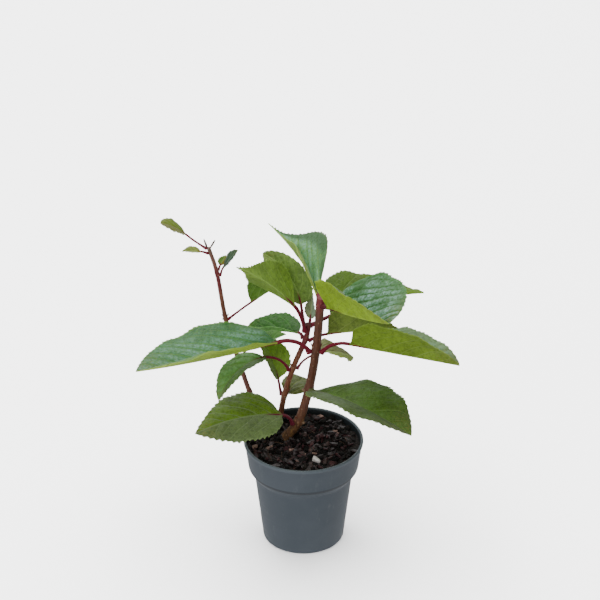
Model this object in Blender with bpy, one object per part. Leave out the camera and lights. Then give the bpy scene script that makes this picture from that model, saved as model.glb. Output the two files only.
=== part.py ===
"""A young hydrangea with three stems, standing in a round nursery pot filled with bark mix.

Metres, +Z up. The origin is the centre of the pot's flat underside, and -Y is the plant's front.
Every leaf follows one rule: a stalk and midrib that leave a stem's node on a heading, climb and
bend evenly, and carry two half blades folded up from the midrib like an open book.
"""
import math

import bmesh
import bpy
import numpy as np

MM = 0.001
CLEAR = 0.3 * MM  # gap kept between pieces that touch in the real plant
SOIL_GAP = 0.35 * MM  # level gap that leaves CLEAR square to the pot's sloping wall

# Pot: heights above its underside, and radii
POT_HEIGHT = 85.5 * MM
RIM_RADIUS = 45.7 * MM
RIM_DEPTH = 2.4 * MM
COLLAR_TOP_RADIUS = 44.8 * MM
COLLAR_FOOT_RADIUS = 42.1 * MM
COLLAR_FOOT = 63.0 * MM
BODY_TOP = 56.8 * MM
BODY_TOP_RADIUS = 37.5 * MM
BASE_RADIUS = 31.1 * MM
BASE_ROUNDING = 1.5 * MM
POT_WALL = 1.4 * MM
POT_SEGMENTS = 48
DRAIN_COUNT = 6
DRAIN_RADIUS = 3.0 * MM
DRAIN_CIRCLE = 19.0 * MM
DRAIN_TURN = 0.2  # share of the spacing by which the first hole is turned from +X

# Bark mix
SOIL_TOP = 81.0 * MM
STEM_FOOT = SOIL_TOP + CLEAR

# Stems
STEM_SIDES = 10
STEM_STEPS = 4  # rings from one node to the next
NODE_SWELLING = 1.15

# Leaves
SHEET_RATIO = 0.0115  # blade thickness to the leaf's whole length
BLADE_STATIONS = (0.0, 0.04, 0.12, 0.22, 0.34, 0.46, 0.58, 0.7, 0.81, 0.9, 0.96, 1.0)
STALK_STATIONS = (0.0, 0.35, 0.7)
ACROSS = np.array([-1.0, -0.55, 0.0, 0.55, 1.0])  # from the left margin to the right one
STALK_LEAST = 0.6 * MM  # a stalk's radius is this, and STALK_SHARE of its blade's length more
STALK_SHARE = 0.009
BLADE_OPENING = 0.05  # share of the blade over which the round stalk flattens out
BOW = 0.05  # how far each half blade bulges upwards, as a share of its width


def clear_scene():
    """Removes whatever the file holds before the plant is modelled."""
    for item in list(bpy.data.objects):
        bpy.data.objects.remove(item, do_unlink=True)


def finish(name, color, roughness):
    """A plain Principled finish, shared by every piece that asks for the same name."""
    material = bpy.data.materials.get(name)
    if material is None:
        material = bpy.data.materials.new(name)
        material.use_nodes = True
        shader = material.node_tree.nodes["Principled BSDF"]
        shader.inputs["Base Color"].default_value = (*color, 1.0)
        shader.inputs["Roughness"].default_value = roughness
        shader.inputs["Metallic"].default_value = 0.0
    return material


POT_PLASTIC = ("pot_plastic", (0.075, 0.1, 0.125), 0.55)
BARK_MIX = ("bark_mix", (0.03, 0.018, 0.012), 0.95)
STEM_BARK = ("stem_bark", (0.14, 0.05, 0.025), 0.7)
LEAF_GREEN = ("leaf_green", (0.13, 0.24, 0.09), 0.5)
DRY_BUD = ("dry_bud", (0.2, 0.13, 0.08), 0.85)


def loft(name, rings, look):
    """Joins rings of equal count with triangles, closes both ends, and makes one object.

    A leaf's diagonals run outwards from its midrib, alike on its two surfaces, so that a
    twisted blade keeps its thickness. Strips across the ends close them, folded or not.
    """
    count = rings.shape[1]
    mesh = bmesh.new()
    verts = [[mesh.verts.new(point) for point in ring] for ring in rings]
    for lower, upper in zip(verts[:-1], verts[1:]):
        for k in range(count):
            after = (k + 1) % count
            corners = (upper[k], lower[k], lower[after], upper[after])
            first = 0 if k % (count // 2) < count // 4 else 1
            mesh.faces.new((corners[first], corners[first + 1], corners[first + 2]))
            mesh.faces.new((corners[first], corners[first + 2], corners[(first + 3) % 4]))
    for ring in (verts[0], verts[-1]):
        for k in range(count // 2 - 1):
            mesh.faces.new((ring[k], ring[k + 1], ring[-2 - k], ring[-1 - k]))
    bmesh.ops.triangulate(mesh, faces=mesh.faces[:])
    bmesh.ops.recalc_face_normals(mesh, faces=mesh.faces[:])
    data = bpy.data.meshes.new(name)
    mesh.to_mesh(data)
    mesh.free()
    data.shade_smooth()
    data.set_sharp_from_angle(angle=math.radians(50))
    data.materials.append(finish(*look))
    piece = bpy.data.objects.new(name, data)
    bpy.context.collection.objects.link(piece)
    return piece


def turned(name, profile, look):
    """Turns an open profile of (radius, height), which starts and ends on the axis."""
    angles = np.linspace(0.0, 2.0 * math.pi, POT_SEGMENTS, endpoint=False)
    circle = np.stack([np.cos(angles), np.sin(angles)], axis=1)
    mesh = bmesh.new()
    rows = []
    for radius, height in profile:
        if radius == 0.0:
            rows.append([mesh.verts.new((0.0, 0.0, height))])
        else:
            rows.append([mesh.verts.new((radius * x, radius * y, height)) for x, y in circle])
    for below, above in zip(rows[:-1], rows[1:]):
        for k in range(POT_SEGMENTS):
            after = (k + 1) % POT_SEGMENTS
            corners = [below[k % len(below)], below[after % len(below)],
                       above[after % len(above)], above[k % len(above)]]
            mesh.faces.new(dict.fromkeys(corners))
    bmesh.ops.recalc_face_normals(mesh, faces=mesh.faces[:])
    data = bpy.data.meshes.new(name)
    mesh.to_mesh(data)
    mesh.free()
    data.shade_smooth()
    data.set_sharp_from_angle(angle=math.radians(35))
    data.materials.append(finish(*look))
    piece = bpy.data.objects.new(name, data)
    bpy.context.collection.objects.link(piece)
    return piece


def inner_radius(height):
    """The pot's inside radius: its outer wall less one wall thickness, at any height."""
    outer = np.interp(height,
                      (0.0, BODY_TOP, COLLAR_FOOT, POT_HEIGHT),
                      (BASE_RADIUS, BODY_TOP_RADIUS, COLLAR_FOOT_RADIUS, COLLAR_TOP_RADIUS))
    return float(outer) - POT_WALL


def make_pot():
    """Open thin-walled pot: tapered body, stepped collar, rolled rim and drain holes."""
    rounding = [(BASE_RADIUS - BASE_ROUNDING * (1.0 - math.sin(turn)),
                 BASE_ROUNDING * (1.0 - math.cos(turn)))
                for turn in np.radians((0, 30, 60, 90))]
    rim_foot = POT_HEIGHT - RIM_DEPTH
    rim_edge = 0.6 * MM
    outside = rounding + [
        (BODY_TOP_RADIUS, BODY_TOP),
        (COLLAR_FOOT_RADIUS, COLLAR_FOOT),
        (COLLAR_TOP_RADIUS, rim_foot - rim_edge),
        (RIM_RADIUS, rim_foot),
        (RIM_RADIUS, POT_HEIGHT - rim_edge),
        (RIM_RADIUS - rim_edge, POT_HEIGHT),
    ]
    inside = [
        (inner_radius(POT_HEIGHT) + rim_edge, POT_HEIGHT),
        (inner_radius(POT_HEIGHT), POT_HEIGHT - rim_edge),
        (inner_radius(COLLAR_FOOT), COLLAR_FOOT),
        (inner_radius(BODY_TOP), BODY_TOP),
        (inner_radius(POT_WALL), POT_WALL),
    ]
    pot = turned("pot", [(0.0, 0.0)] + outside + inside + [(0.0, POT_WALL)], POT_PLASTIC)
    for k in range(DRAIN_COUNT):
        angle = 2.0 * math.pi * (k + DRAIN_TURN) / DRAIN_COUNT
        cut_drain(pot, DRAIN_CIRCLE * math.cos(angle), DRAIN_CIRCLE * math.sin(angle))


def cut_drain(pot, x, y):
    """Cuts one round hole through the pot's floor."""
    mesh = bmesh.new()
    bmesh.ops.create_cone(mesh, cap_ends=True, segments=16, radius1=DRAIN_RADIUS,
                          radius2=DRAIN_RADIUS, depth=4.0 * POT_WALL)
    data = bpy.data.meshes.new("drain_cutter")
    mesh.to_mesh(data)
    mesh.free()
    cutter = bpy.data.objects.new("drain_cutter", data)
    cutter.location = (x, y, 0.5 * POT_WALL)
    cutter.hide_render = True
    cutter.display_type = "WIRE"
    bpy.context.collection.objects.link(cutter)
    hole = pot.modifiers.new("drain", "BOOLEAN")
    hole.operation = "DIFFERENCE"
    hole.solver = "EXACT"
    hole.object = cutter


def make_soil():
    """The bark mix: a plug that fills the pot to just under its rim."""
    floor = POT_WALL + CLEAR
    heights = (floor, BODY_TOP, COLLAR_FOOT, SOIL_TOP)
    side = [(inner_radius(height) - SOIL_GAP, height) for height in heights]
    turned("soil", [(0.0, floor)] + side + [(0.0, SOIL_TOP)], BARK_MIX)


def curve_through(points, steps):
    """Smooth curve through all points (Catmull-Rom), with the same steps in each span."""
    points = np.asarray(points, dtype=float)
    ends = (2.0 * points[0] - points[1], 2.0 * points[-1] - points[-2])
    before, start, end, after = (np.vstack([ends[0], points, ends[1]])[k:len(points) - 1 + k, None]
                                 for k in range(4))
    t = np.linspace(0.0, 1.0, steps, endpoint=False)[None, :, None]
    curve = 0.5 * (2.0 * start + (end - before) * t
                   + (2.0 * before - 5.0 * start + 4.0 * end - after) * t ** 2
                   + (3.0 * start - before - 3.0 * end + after) * t ** 3)
    return np.vstack([curve.reshape(-1, 3), points[-1]])


class Stem:
    """A tapering stem: its foot, its leaf nodes from the lowest up, and its cut tip."""

    def __init__(self, name, foot_radius, tip_radius, foot, nodes, tip):
        self.name = name
        self.points = np.array([(*foot, STEM_FOOT / MM), *nodes, tip]) * MM
        self.route = curve_through(self.points, STEM_STEPS)
        self.foot_radius = foot_radius
        self.tip_radius = tip_radius

    def radius(self, height):
        """Even taper from the foot to the tip."""
        share = (height - self.points[0, 2]) / (self.points[-1, 2] - self.points[0, 2])
        return self.foot_radius + (self.tip_radius - self.foot_radius) * share

    def axis_near(self, node, lift):
        """The point on the stem's axis at a height of lift above a node."""
        height = self.points[node, 2] + lift
        return np.array([np.interp(height, self.route[:, 2], self.route[:, 0]),
                         np.interp(height, self.route[:, 2], self.route[:, 1]), height])

    def make(self, look):
        """Rings square to the route, swollen at each node, with a level cut at the foot."""
        route = self.route
        along = np.gradient(route, axis=0)
        along[0] = (0.0, 0.0, 1.0)
        along /= np.linalg.norm(along, axis=1)[:, None]
        right = np.cross(np.array([0.0, 1.0, 0.0]), along)
        right /= np.linalg.norm(right, axis=1)[:, None]
        front = np.cross(along, right)
        radius = self.radius(route[:, 2])
        radius[STEM_STEPS:-1:STEM_STEPS] *= NODE_SWELLING
        turn = np.linspace(0.0, 2.0 * math.pi, STEM_SIDES, endpoint=False)[None, :, None]
        ring = np.cos(turn) * right[:, None] + np.sin(turn) * front[:, None]
        return loft(self.name, route[:, None] + radius[:, None, None] * ring, look)


def midrib(start, heading, swing, climb, stalk, blade, stations):
    """Points, directions and left-hand directions along a stalk and midrib.

    Heading turns evenly by swing from end to end. The climb above the horizontal runs from
    climb[0] at the stem to climb[1] where the blade begins and climb[2] at its tip.
    """
    length = stalk + blade
    fine = np.linspace(0.0, length, 241)
    turn = np.radians(heading + swing * fine / length)
    rise = np.radians(np.interp(fine, (0.0, stalk, length), climb))
    way = np.stack([np.cos(rise) * np.cos(turn), np.cos(rise) * np.sin(turn), np.sin(rise)], axis=1)
    steps = 0.5 * (way[1:] + way[:-1]) * np.diff(fine)[:, None]
    path = start + np.vstack([np.zeros(3), np.cumsum(steps, axis=0)])
    left = np.stack([-np.sin(turn), np.cos(turn), np.zeros_like(turn)], axis=1)
    pick = [np.stack([np.interp(stations, fine, rows[:, k]) for k in range(3)], axis=1)
            for rows in (path, way, left)]
    pick[1] /= np.linalg.norm(pick[1], axis=1)[:, None]
    return pick


def half_width(share, shoulder, point):
    """Blade outline: share**shoulder * (1 - share)**point, scaled so that its widest is 1."""
    widest = shoulder / (shoulder + point)
    peak = widest ** shoulder * (1.0 - widest) ** point
    return share ** shoulder * (1.0 - share) ** point / peak


def make_leaf(name, stem, node, heading, climb, stalk, blade, width, fold, roll,
              swing=0.0, twist=0.0, opening=0.0, shoulder=0.62, point=1.0, lift=0.0):
    """One leaf: a round stalk that opens into a blade folded up along its midrib.

    Lengths are in millimetres and angles in degrees. width is half the flat blade's width,
    fold lifts both halves, roll lifts the left one and lowers the right one, and opening and
    twist are what fold and roll gain by the tip. A pair for shoulder gives the left half's
    value and the right half's.
    """
    stalk, blade, width = stalk * MM, blade * MM, width * MM
    thickness = SHEET_RATIO * (stalk + blade)
    stalk_radius = STALK_LEAST + STALK_SHARE * blade
    centre = stem.axis_near(node, lift * MM)
    outward = np.array([math.cos(math.radians(heading)), math.sin(math.radians(heading)), 0.0])
    lean = np.dot(stem.axis_near(node, lift * MM + stalk_radius) - centre, outward)
    start = centre + outward * (stem.radius(centre[2]) * NODE_SWELLING + CLEAR + max(0.0, lean)
                                + stalk_radius * max(0.0, math.sin(math.radians(climb[0]))))

    share = np.concatenate([np.zeros(len(STALK_STATIONS)), BLADE_STATIONS])
    stations = np.concatenate([np.multiply(STALK_STATIONS, stalk),
                               stalk + np.multiply(BLADE_STATIONS, blade)])
    path, way, left = midrib(start, heading, swing, climb, stalk, blade, stations)
    up = np.cross(way, left)
    lean = np.radians(roll + twist * share)[:, None]
    side = np.cos(lean) * left + np.sin(lean) * up
    face = np.cos(lean) * up - np.sin(lean) * left

    # Cross-section, from the left margin to the right one: side points to the leaf's left,
    # face out of its upper surface.
    shoulders = np.where(ACROSS < 0.0, *np.broadcast_to(shoulder, 2))
    spread = np.maximum(width * half_width(share[:, None], shoulders, point), 0.4 * thickness)
    angle = np.radians(fold + opening * share)[:, None]
    bulge = BOW * spread * np.sin(math.pi * np.abs(ACROSS))
    blade_side = -ACROSS * spread * np.cos(angle) + np.sign(ACROSS) * bulge * np.sin(angle)
    blade_face = np.abs(ACROSS) * spread * np.sin(angle) + bulge * np.cos(angle)
    sheet = thickness * (1.25 - 0.5 * np.abs(ACROSS))
    under_side = blade_side - np.sign(ACROSS) * sheet * np.sin(angle)
    under_face = blade_face - sheet * np.cos(angle)

    # The stalk's section is a circle, which opens into the folded blade.
    arc = math.pi * (0.5 - 0.5 * ACROSS)
    round_side = -stalk_radius * np.cos(arc)
    round_top = stalk_radius * np.sin(arc)
    opened = np.clip(share / BLADE_OPENING, 0.0, 1.0)[:, None]
    top_side = (1.0 - opened) * round_side + opened * blade_side
    top_face = (1.0 - opened) * round_top + opened * blade_face
    low_side = (1.0 - opened) * 0.9 * round_side + opened * under_side
    low_face = (1.0 - opened) * (-round_top - 0.12 * stalk_radius) + opened * under_face
    across_side = np.hstack([top_side, low_side[:, ::-1]])[:, :, None]
    across_face = np.hstack([top_face, low_face[:, ::-1]])[:, :, None]
    rings = path[:, None] + across_side * side[:, None] + across_face * face[:, None]
    return loft(name, rings, LEAF_GREEN)


def make_bud(name, stem, heading, climb, length, radius):
    """A dry bud at a stem's tip: a thin pointed twig that starts clear of the stem."""
    heading, climb = math.radians(heading), math.radians(climb)
    way = np.array([math.cos(climb) * math.cos(heading),
                    math.cos(climb) * math.sin(heading), math.sin(climb)])
    right = np.array([-math.sin(heading), math.cos(heading), 0.0])
    front = np.cross(way, right)
    aside = 1.4 * radius
    lean = stem.points[-1] - stem.points[-2]
    rise = stem.tip_radius * math.hypot(lean[0], lean[1]) / lean[2]
    start = stem.points[-1] + np.array([aside * math.cos(heading), aside * math.sin(heading),
                                        CLEAR + rise + radius * math.cos(climb)])
    turn = np.linspace(0.0, 2.0 * math.pi, 6, endpoint=False)[None, :, None]
    ring = np.cos(turn) * right + np.sin(turn) * front
    along = np.array([0.0, 0.25, 0.6, 1.0])[:, None, None] * length * MM * way
    girth = np.array([0.8, 1.0, 0.7, 0.25])[:, None, None] * radius
    loft(name, start + along + girth * ring, DRY_BUD)


def make_main_stem_leaves(stem):
    """Two single leaves low down, then two opposite pairs."""
    make_leaf("leaf_low_left", stem, 1, heading=210, swing=-13, climb=(75, 22, -21), stalk=13.5,
              blade=73, width=24, fold=10, roll=-14, twist=-3, opening=-21, shoulder=0.69)
    make_leaf("leaf_low_right", stem, 2, heading=299, swing=32, climb=(0, 29, -22), stalk=2,
              blade=106.5, width=32, fold=13, roll=-4, twist=-12, opening=3, shoulder=0.97, point=0.8)
    make_leaf("leaf_long_left", stem, 3, heading=194, swing=22, climb=(61, -6, 13), stalk=28,
              blade=119, width=36, fold=31, roll=14, twist=3, opening=-13, shoulder=(1.15, 0.65),
              point=0.93)
    make_leaf("leaf_long_right", stem, 3, heading=333, swing=13, climb=(57, 2, -4), stalk=27,
              blade=86, width=28, fold=41, roll=-36, twist=15, opening=4, shoulder=0.44, point=0.7)
    make_leaf("leaf_top_front", stem, 4, heading=304, swing=-16, climb=(16, 16, 28), stalk=6,
              blade=107, width=40, fold=53, roll=-9, opening=-15, shoulder=(0.56, 0.5), point=0.7,
              lift=1)
    make_leaf("leaf_top_back", stem, 4, heading=102, swing=21, climb=(87, 9, 5.5), stalk=5, blade=97,
              width=33.5, fold=70, roll=-3, twist=15, opening=-9, shoulder=(0.7, 1.15), point=2.7)


def make_second_stem_leaves(stem):
    """Pairs at three nodes and four leaves round the tip."""
    make_leaf("leaf_inner_upright", stem, 1, heading=135, swing=-19, climb=(75, 74, 27), stalk=11.5,
              blade=39, width=14.5, fold=30, roll=18, twist=-3, opening=-9)
    make_leaf("leaf_inner_low", stem, 1, heading=59, swing=-28, climb=(0, 39, -46), stalk=1.5,
              blade=31, width=12, fold=2, roll=-2, twist=4, opening=-5, shoulder=(0.9, 0.5),
              lift=-2)
    make_leaf("leaf_drooping_left", stem, 2, heading=206, swing=19, climb=(67, 14, -65), stalk=27,
              blade=54, width=13.5, fold=12, roll=7, twist=8, opening=9, point=0.83)
    make_leaf("leaf_small_right", stem, 2, heading=13, swing=-5, climb=(62, 19, -37), stalk=15,
              blade=34, width=20.5, fold=25, roll=-19, twist=11, opening=-34, shoulder=0.54,
              point=0.8)
    make_leaf("leaf_middle_left", stem, 3, heading=135, swing=29, climb=(75, -12, -30), stalk=4.5,
              blade=56, width=16.5, fold=29, roll=8, twist=-9, opening=14, shoulder=0.58, point=0.7)
    make_leaf("leaf_middle_right", stem, 3, heading=357, swing=-3, climb=(36, 13, -5), stalk=14,
              blade=58, width=21, fold=55, roll=-43, shoulder=0.52, point=1.12, lift=-1)
    make_leaf("leaf_front_left", stem, 4, heading=230, swing=-5, climb=(80, 52, 36), stalk=30,
              blade=85, width=25.5, fold=62, roll=58, twist=26, opening=-6, point=1.8, lift=-1.5)
    make_leaf("leaf_upper_left", stem, 4, heading=142, swing=11, climb=(80, 79, 15), stalk=16.5,
              blade=51.5, width=13.5, fold=33, roll=-31, twist=-12, shoulder=(0.75, 0.47), point=0.75)
    make_leaf("leaf_upper_right", stem, 4, heading=36, climb=(8, 4, -18), stalk=18.5,
              blade=91, width=31, fold=41, roll=-5, twist=-8, opening=-12, shoulder=0.4)
    make_leaf("leaf_top_hidden", stem, 4, heading=70, swing=-60, climb=(66, 78, 88), stalk=2,
              blade=22, width=5.5, fold=12, roll=0, lift=2.4)


def make_third_stem_leaves(stem):
    """A bare stem with a few small leaves and two dry buds at its tip."""
    make_leaf("leaf_hidden_small", stem, 2, heading=348, swing=3, climb=(75, 29, 25), stalk=15.5,
              blade=28, width=8.5, fold=25, roll=7)
    make_leaf("leaf_behind_left", stem, 3, heading=2, swing=-3, climb=(41, 39, 32), stalk=21.5,
              blade=27, width=16, fold=58, roll=-44, shoulder=0.8)
    make_leaf("leaf_tip_dark", stem, 4, heading=332, swing=17, climb=(75, 63, 48), stalk=7.5,
              blade=20, width=6.5, fold=13, roll=16, twist=7, opening=-10)
    make_leaf("leaf_tip_pale", stem, 4, heading=50, climb=(60, 50, 30), stalk=3,
              blade=9, width=3.5, fold=15, roll=0, lift=2.5)
    make_leaf("leaf_tip_long", stem, 5, heading=181, swing=13, climb=(36, 45, 18), stalk=19,
              blade=22, width=9.5, fold=8, roll=4, twist=-8, shoulder=0.72, point=0.7)
    make_leaf("leaf_tip_narrow", stem, 5, heading=200, climb=(30, 20, 5), stalk=5,
              blade=15, width=4.5, fold=21, roll=-5, lift=-4)
    make_bud("dry_bud_left", stem, heading=160, climb=70, length=8.5, radius=0.7 * MM)
    make_bud("dry_bud_right", stem, heading=10, climb=60, length=8.5, radius=0.7 * MM)


def main():
    clear_scene()
    make_pot()
    make_soil()
    main_stem = Stem("stem_main", 3.5 * MM, 3.1 * MM, foot=(-13.5, 9.5), tip=(13.0, 7.9, 205.8),
                     nodes=[(-3.7, 7.5, 96.8), (4.2, 8.5, 125.8), (9.4, 8.5, 159.6),
                            (12.5, 8, 199.4)])
    second_stem = Stem("stem_second", 2.2 * MM, 2.0 * MM, foot=(-18.8, 29), tip=(3.7, 22, 174.8),
                       nodes=[(-14.6, 27, 107.8), (-8.0, 25, 133.3), (1.7, 23, 160.8),
                              (3.4, 22, 172.3)])
    third_stem = Stem("stem_third", 2.0 * MM, 1.5 * MM, foot=(-29, 23.5), tip=(-70.7, 20, 241.8),
                      nodes=[(-41.2, 25, 112.2), (-50, 24, 143.8), (-58.8, 23, 178.8),
                             (-64.7, 21, 219.3)])
    for stem in (main_stem, second_stem, third_stem):
        stem.make(STEM_BARK)
    make_main_stem_leaves(main_stem)
    make_second_stem_leaves(second_stem)
    make_third_stem_leaves(third_stem)


main()
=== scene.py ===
"""Looks of a young hydrangea with three stems, rooted in bark mix in a round nursery pot.

Metres, +Z up, -Y is the plant's front. The file follows the plant as it is put together: pot, bark
mix, stems, buds, leaves, and then the floor, the lamps and the camera.
"""

import itertools
import math

import bpy
import numpy as np
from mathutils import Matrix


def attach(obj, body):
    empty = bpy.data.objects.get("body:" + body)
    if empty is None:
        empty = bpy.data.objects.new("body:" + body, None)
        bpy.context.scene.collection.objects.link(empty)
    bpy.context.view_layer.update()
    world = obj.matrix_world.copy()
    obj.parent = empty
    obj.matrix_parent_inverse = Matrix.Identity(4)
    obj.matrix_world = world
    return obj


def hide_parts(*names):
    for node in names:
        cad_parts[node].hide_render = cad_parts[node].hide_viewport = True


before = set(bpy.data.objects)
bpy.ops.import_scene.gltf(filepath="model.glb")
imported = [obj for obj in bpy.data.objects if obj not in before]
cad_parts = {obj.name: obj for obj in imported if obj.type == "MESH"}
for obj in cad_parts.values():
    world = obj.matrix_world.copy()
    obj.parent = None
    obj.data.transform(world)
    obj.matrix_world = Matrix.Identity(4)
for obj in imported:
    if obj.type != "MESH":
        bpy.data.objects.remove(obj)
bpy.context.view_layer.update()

MM = 0.001


# ---------------------------------------------------------------- pot
# A thin-walled round nursery pot, injection moulded in matte slate grey polypropylene: a tapered
# body, a stepped collar that stops stacked pots from jamming, a small rolled rim, and a raised
# floor with six drain holes inside a low foot ring. It comes out of the mould in one piece.

POT_HEIGHT = 85.5 * MM
RIM_RADIUS = 45.7 * MM
RIM_DEPTH = 2.4 * MM
COLLAR_TOP_RADIUS = 44.8 * MM
COLLAR_FOOT_RADIUS = 42.1 * MM
COLLAR_FOOT = 63.0 * MM
BODY_TOP = 56.8 * MM
BODY_TOP_RADIUS = 37.5 * MM
BASE_RADIUS = 31.1 * MM
BASE_ROUNDING = 1.5 * MM
POT_WALL = 1.2 * MM
FOOT_RING = 2.2 * MM
FLOOR_LIFT = 1.0 * MM
DRAIN_COUNT = 6
DRAIN_RADIUS = 3.0 * MM
DRAIN_CIRCLE = 19.0 * MM
DRAIN_TURN = 0.2  # of the angle from one drain hole to the next
LIP_RADIUS = 0.7 * MM
COLLAR_SHOULDER = 0.9 * MM
POT_SIDES = 180
PROFILE_STEP = 2.5 * MM
BIT_SIDES = 40
BIT_REACH = 6.0 * MM
SLATE_DARK = (0.044, 0.057, 0.072)
SLATE_LIGHT = (0.058, 0.072, 0.088)
# Wear and a painted highlight on the rim's lip.
RIM_WEAR_AND_HIGHLIGHT = (0.14, 0.17, 0.19)
DUST = (0.2, 0.21, 0.21)
SOIL_SMEAR = (0.03, 0.026, 0.022)
# Painted shade under the collar's step.
STEP_SHADE = (0.014, 0.019, 0.024)
# Stain and painted shade inside the collar.
STAIN_AND_SHADE = (0.008, 0.012, 0.013)


class Number:
    """A value in a material. Sums, products and the like on it add Math nodes."""

    def __init__(self, finish, socket):
        self.finish = finish
        self.socket = socket

    def math(self, operation, first, second=0.0):
        """One Math node."""
        return self.finish.node("ShaderNodeMath", {"operation": operation}, {0: first, 1: second})

    def __add__(self, other):
        return self.math("ADD", self, other)

    def __sub__(self, other):
        return self.math("SUBTRACT", self, other)

    def __rsub__(self, other):
        return self.math("SUBTRACT", other, self)

    def __mul__(self, other):
        return self.math("MULTIPLY", self, other)

    __radd__, __rmul__ = __add__, __mul__

    def __truediv__(self, other):
        return self.math("DIVIDE", self, other)

    def __abs__(self):
        return self.math("ABSOLUTE", self)

    def sin(self):
        return self.math("SINE", self)

    def most(self, other):
        return self.math("MAXIMUM", self, other)

    def over(self, start, end):
        """Rises smoothly from 0 at start to 1 at end, or falls where start is the larger."""
        return self.finish.node("ShaderNodeMapRange", {"interpolation_type": "SMOOTHSTEP"},
                                {"Value": self, "From Min": start, "From Max": end})


class Finish:
    """A Principled material in the making. Its shader's plain numbers are set on the sockets."""

    def __init__(self, name, plain):
        self.material = bpy.data.materials.new(name)
        self.material.use_nodes = True
        self.tree = self.material.node_tree
        self.shader = self.tree.nodes["Principled BSDF"]
        self.feed(self.shader, plain)

    def feed(self, node, sockets):
        """Sets or links a node's inputs, named by their label or their place."""
        for key, value in sockets.items():
            target = node.inputs[key]
            if isinstance(value, Number):
                self.tree.links.new(value.socket, target)
            elif isinstance(value, tuple) and target.type == "RGBA":
                target.default_value = (*value, 1.0)
            else:
                target.default_value = value

    def node(self, kind, settings, sockets, output=0):
        """Any node: its settings first, then its inputs. Returns one of its outputs."""
        node = self.tree.nodes.new(kind)
        for key, value in settings.items():
            setattr(node, key, value)
        self.feed(node, sockets)
        return Number(self, node.outputs[output])

    def spot(self, scale=(1.0, 1.0, 1.0)):
        """The piece's own coordinates, stretched."""
        place = self.node("ShaderNodeTexCoord", {}, {}, "Object")
        return self.node("ShaderNodeMapping", {}, {"Vector": place, "Scale": scale})

    def part(self, vector, letter):
        """One of a vector's parts: X, Y or Z."""
        return self.node("ShaderNodeSeparateXYZ", {}, {0: vector}, letter)

    def noise(self, scale, detail=3.0, roughness=0.55, stretch=(1.0, 1.0, 1.0)):
        """Cloudy noise between 0 and 1 on the piece's own coordinates."""
        return self.node("ShaderNodeTexNoise", {}, {"Vector": self.spot(stretch), "Scale": scale,
                                                    "Detail": detail, "Roughness": roughness})

    def mix(self, share, first, second):
        """A colour between two others."""
        return self.node("ShaderNodeMix", {"data_type": "RGBA"}, {0: share, 6: first, 7: second}, 2)

    def layers(self, color, *coats):
        """A colour with others laid over it in turn, each given as (share, colour)."""
        for share, coat in coats:
            color = self.mix(share, color, coat)
        return color

    def done(self, color, roughness, height, strength, distance):
        """Feeds the shader, with relief from a height of 0 to 1 that stands for the distance."""
        relief = self.node("ShaderNodeBump", {}, {"Height": height, "Strength": strength,
                                                  "Distance": distance})
        self.feed(self.shader, {"Base Color": color, "Roughness": roughness, "Normal": relief})
        return self.material


def pot_plastic():
    """Slate grey-blue plastic: cloudy tone, fine grain and rub marks, a rim worn paler with a
    painted highlight on its lip, and a dark line of painted shade under the collar's step.

    Below the rim the collar's inside, all that is seen of it over the mix, is stained and darkened
    nearly black with painted shade. Its radius is under a line through the middle of the collar's
    wall, which leans outwards.
    """
    finish = Finish("pot_plastic", {"Specular IOR Level": 0.42})
    cloud = finish.noise(28.0, 4.0)
    dust = finish.noise(150.0, 5.0, 0.7, (1.0, 1.0, 0.35)).over(0.56, 0.8)
    smear = finish.noise(420.0, 2.0).over(0.68, 0.8)
    rub = finish.noise(60.0, stretch=(1.0, 1.0, 9.0)).over(0.6, 0.72)
    grain = finish.noise(2600.0, 2.0)
    height = finish.part(finish.spot(), "Z")
    radius = finish.node("ShaderNodeVectorMath", {"operation": "LENGTH"},
                         {0: finish.spot((1.0, 1.0, 0.0))}, "Value")
    # Stain and painted shade: the collar's inside, seen over the mix, is darkened nearly black.
    lean = (COLLAR_TOP_RADIUS - COLLAR_FOOT_RADIUS) / (POT_HEIGHT - COLLAR_FOOT)
    middle = (height - POT_HEIGHT) * lean + (COLLAR_TOP_RADIUS - 0.5 * POT_WALL)
    inside = (radius - middle).over(0.2 * MM, -0.3 * MM)
    inside = inside * height.over(COLLAR_FOOT + 0.5 * MM, COLLAR_FOOT + 2.0 * MM)
    inside = inside * height.over(POT_HEIGHT - 0.6 * MM, POT_HEIGHT - 1.6 * MM)
    # Wear and a painted highlight: paler along the rim's lip.
    lip = height.over(POT_HEIGHT - 3.0 * MM, POT_HEIGHT - 1.4 * MM)
    # Painted shade: a dark band under the collar's step, where the step shades the wall below it.
    step = abs(height - (COLLAR_FOOT - 0.4 * MM)).over(2.2 * MM, 0.8 * MM) * (1.0 - inside)
    tone = finish.layers(SLATE_DARK, (cloud.over(0.3, 0.75), SLATE_LIGHT), (dust * 0.25, DUST),
                         (smear * 0.35, SOIL_SMEAR), (lip * 0.35, RIM_WEAR_AND_HIGHLIGHT),
                         (step * 0.75, STEP_SHADE), (inside * 0.9, STAIN_AND_SHADE))
    return finish.done(tone, roughness=0.5 + 0.1 * cloud - 0.07 * rub,
                       height=grain * 0.6 + cloud * 0.4, strength=0.25, distance=0.08 * MM)


def new_piece(name, points, faces, *materials):
    """Makes one object at the origin from arrays of points and faces."""
    mesh = bpy.data.meshes.new(name)
    mesh.from_pydata(points, [], faces)
    for material in materials:
        mesh.materials.append(material)
    piece = bpy.data.objects.new(name, mesh)
    bpy.context.scene.collection.objects.link(piece)
    return piece


def quads_between(rings, sides):
    """Corner numbers of the quads between rings of equal count that stand in a row."""
    ring = np.arange(rings - 1)[:, None] * sides
    side = np.arange(sides)[None, :]
    after = (side + 1) % sides
    return np.stack([ring + side, ring + after, ring + sides + after, ring + sides + side],
                    axis=2).reshape(-1, 4).tolist()


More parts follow.
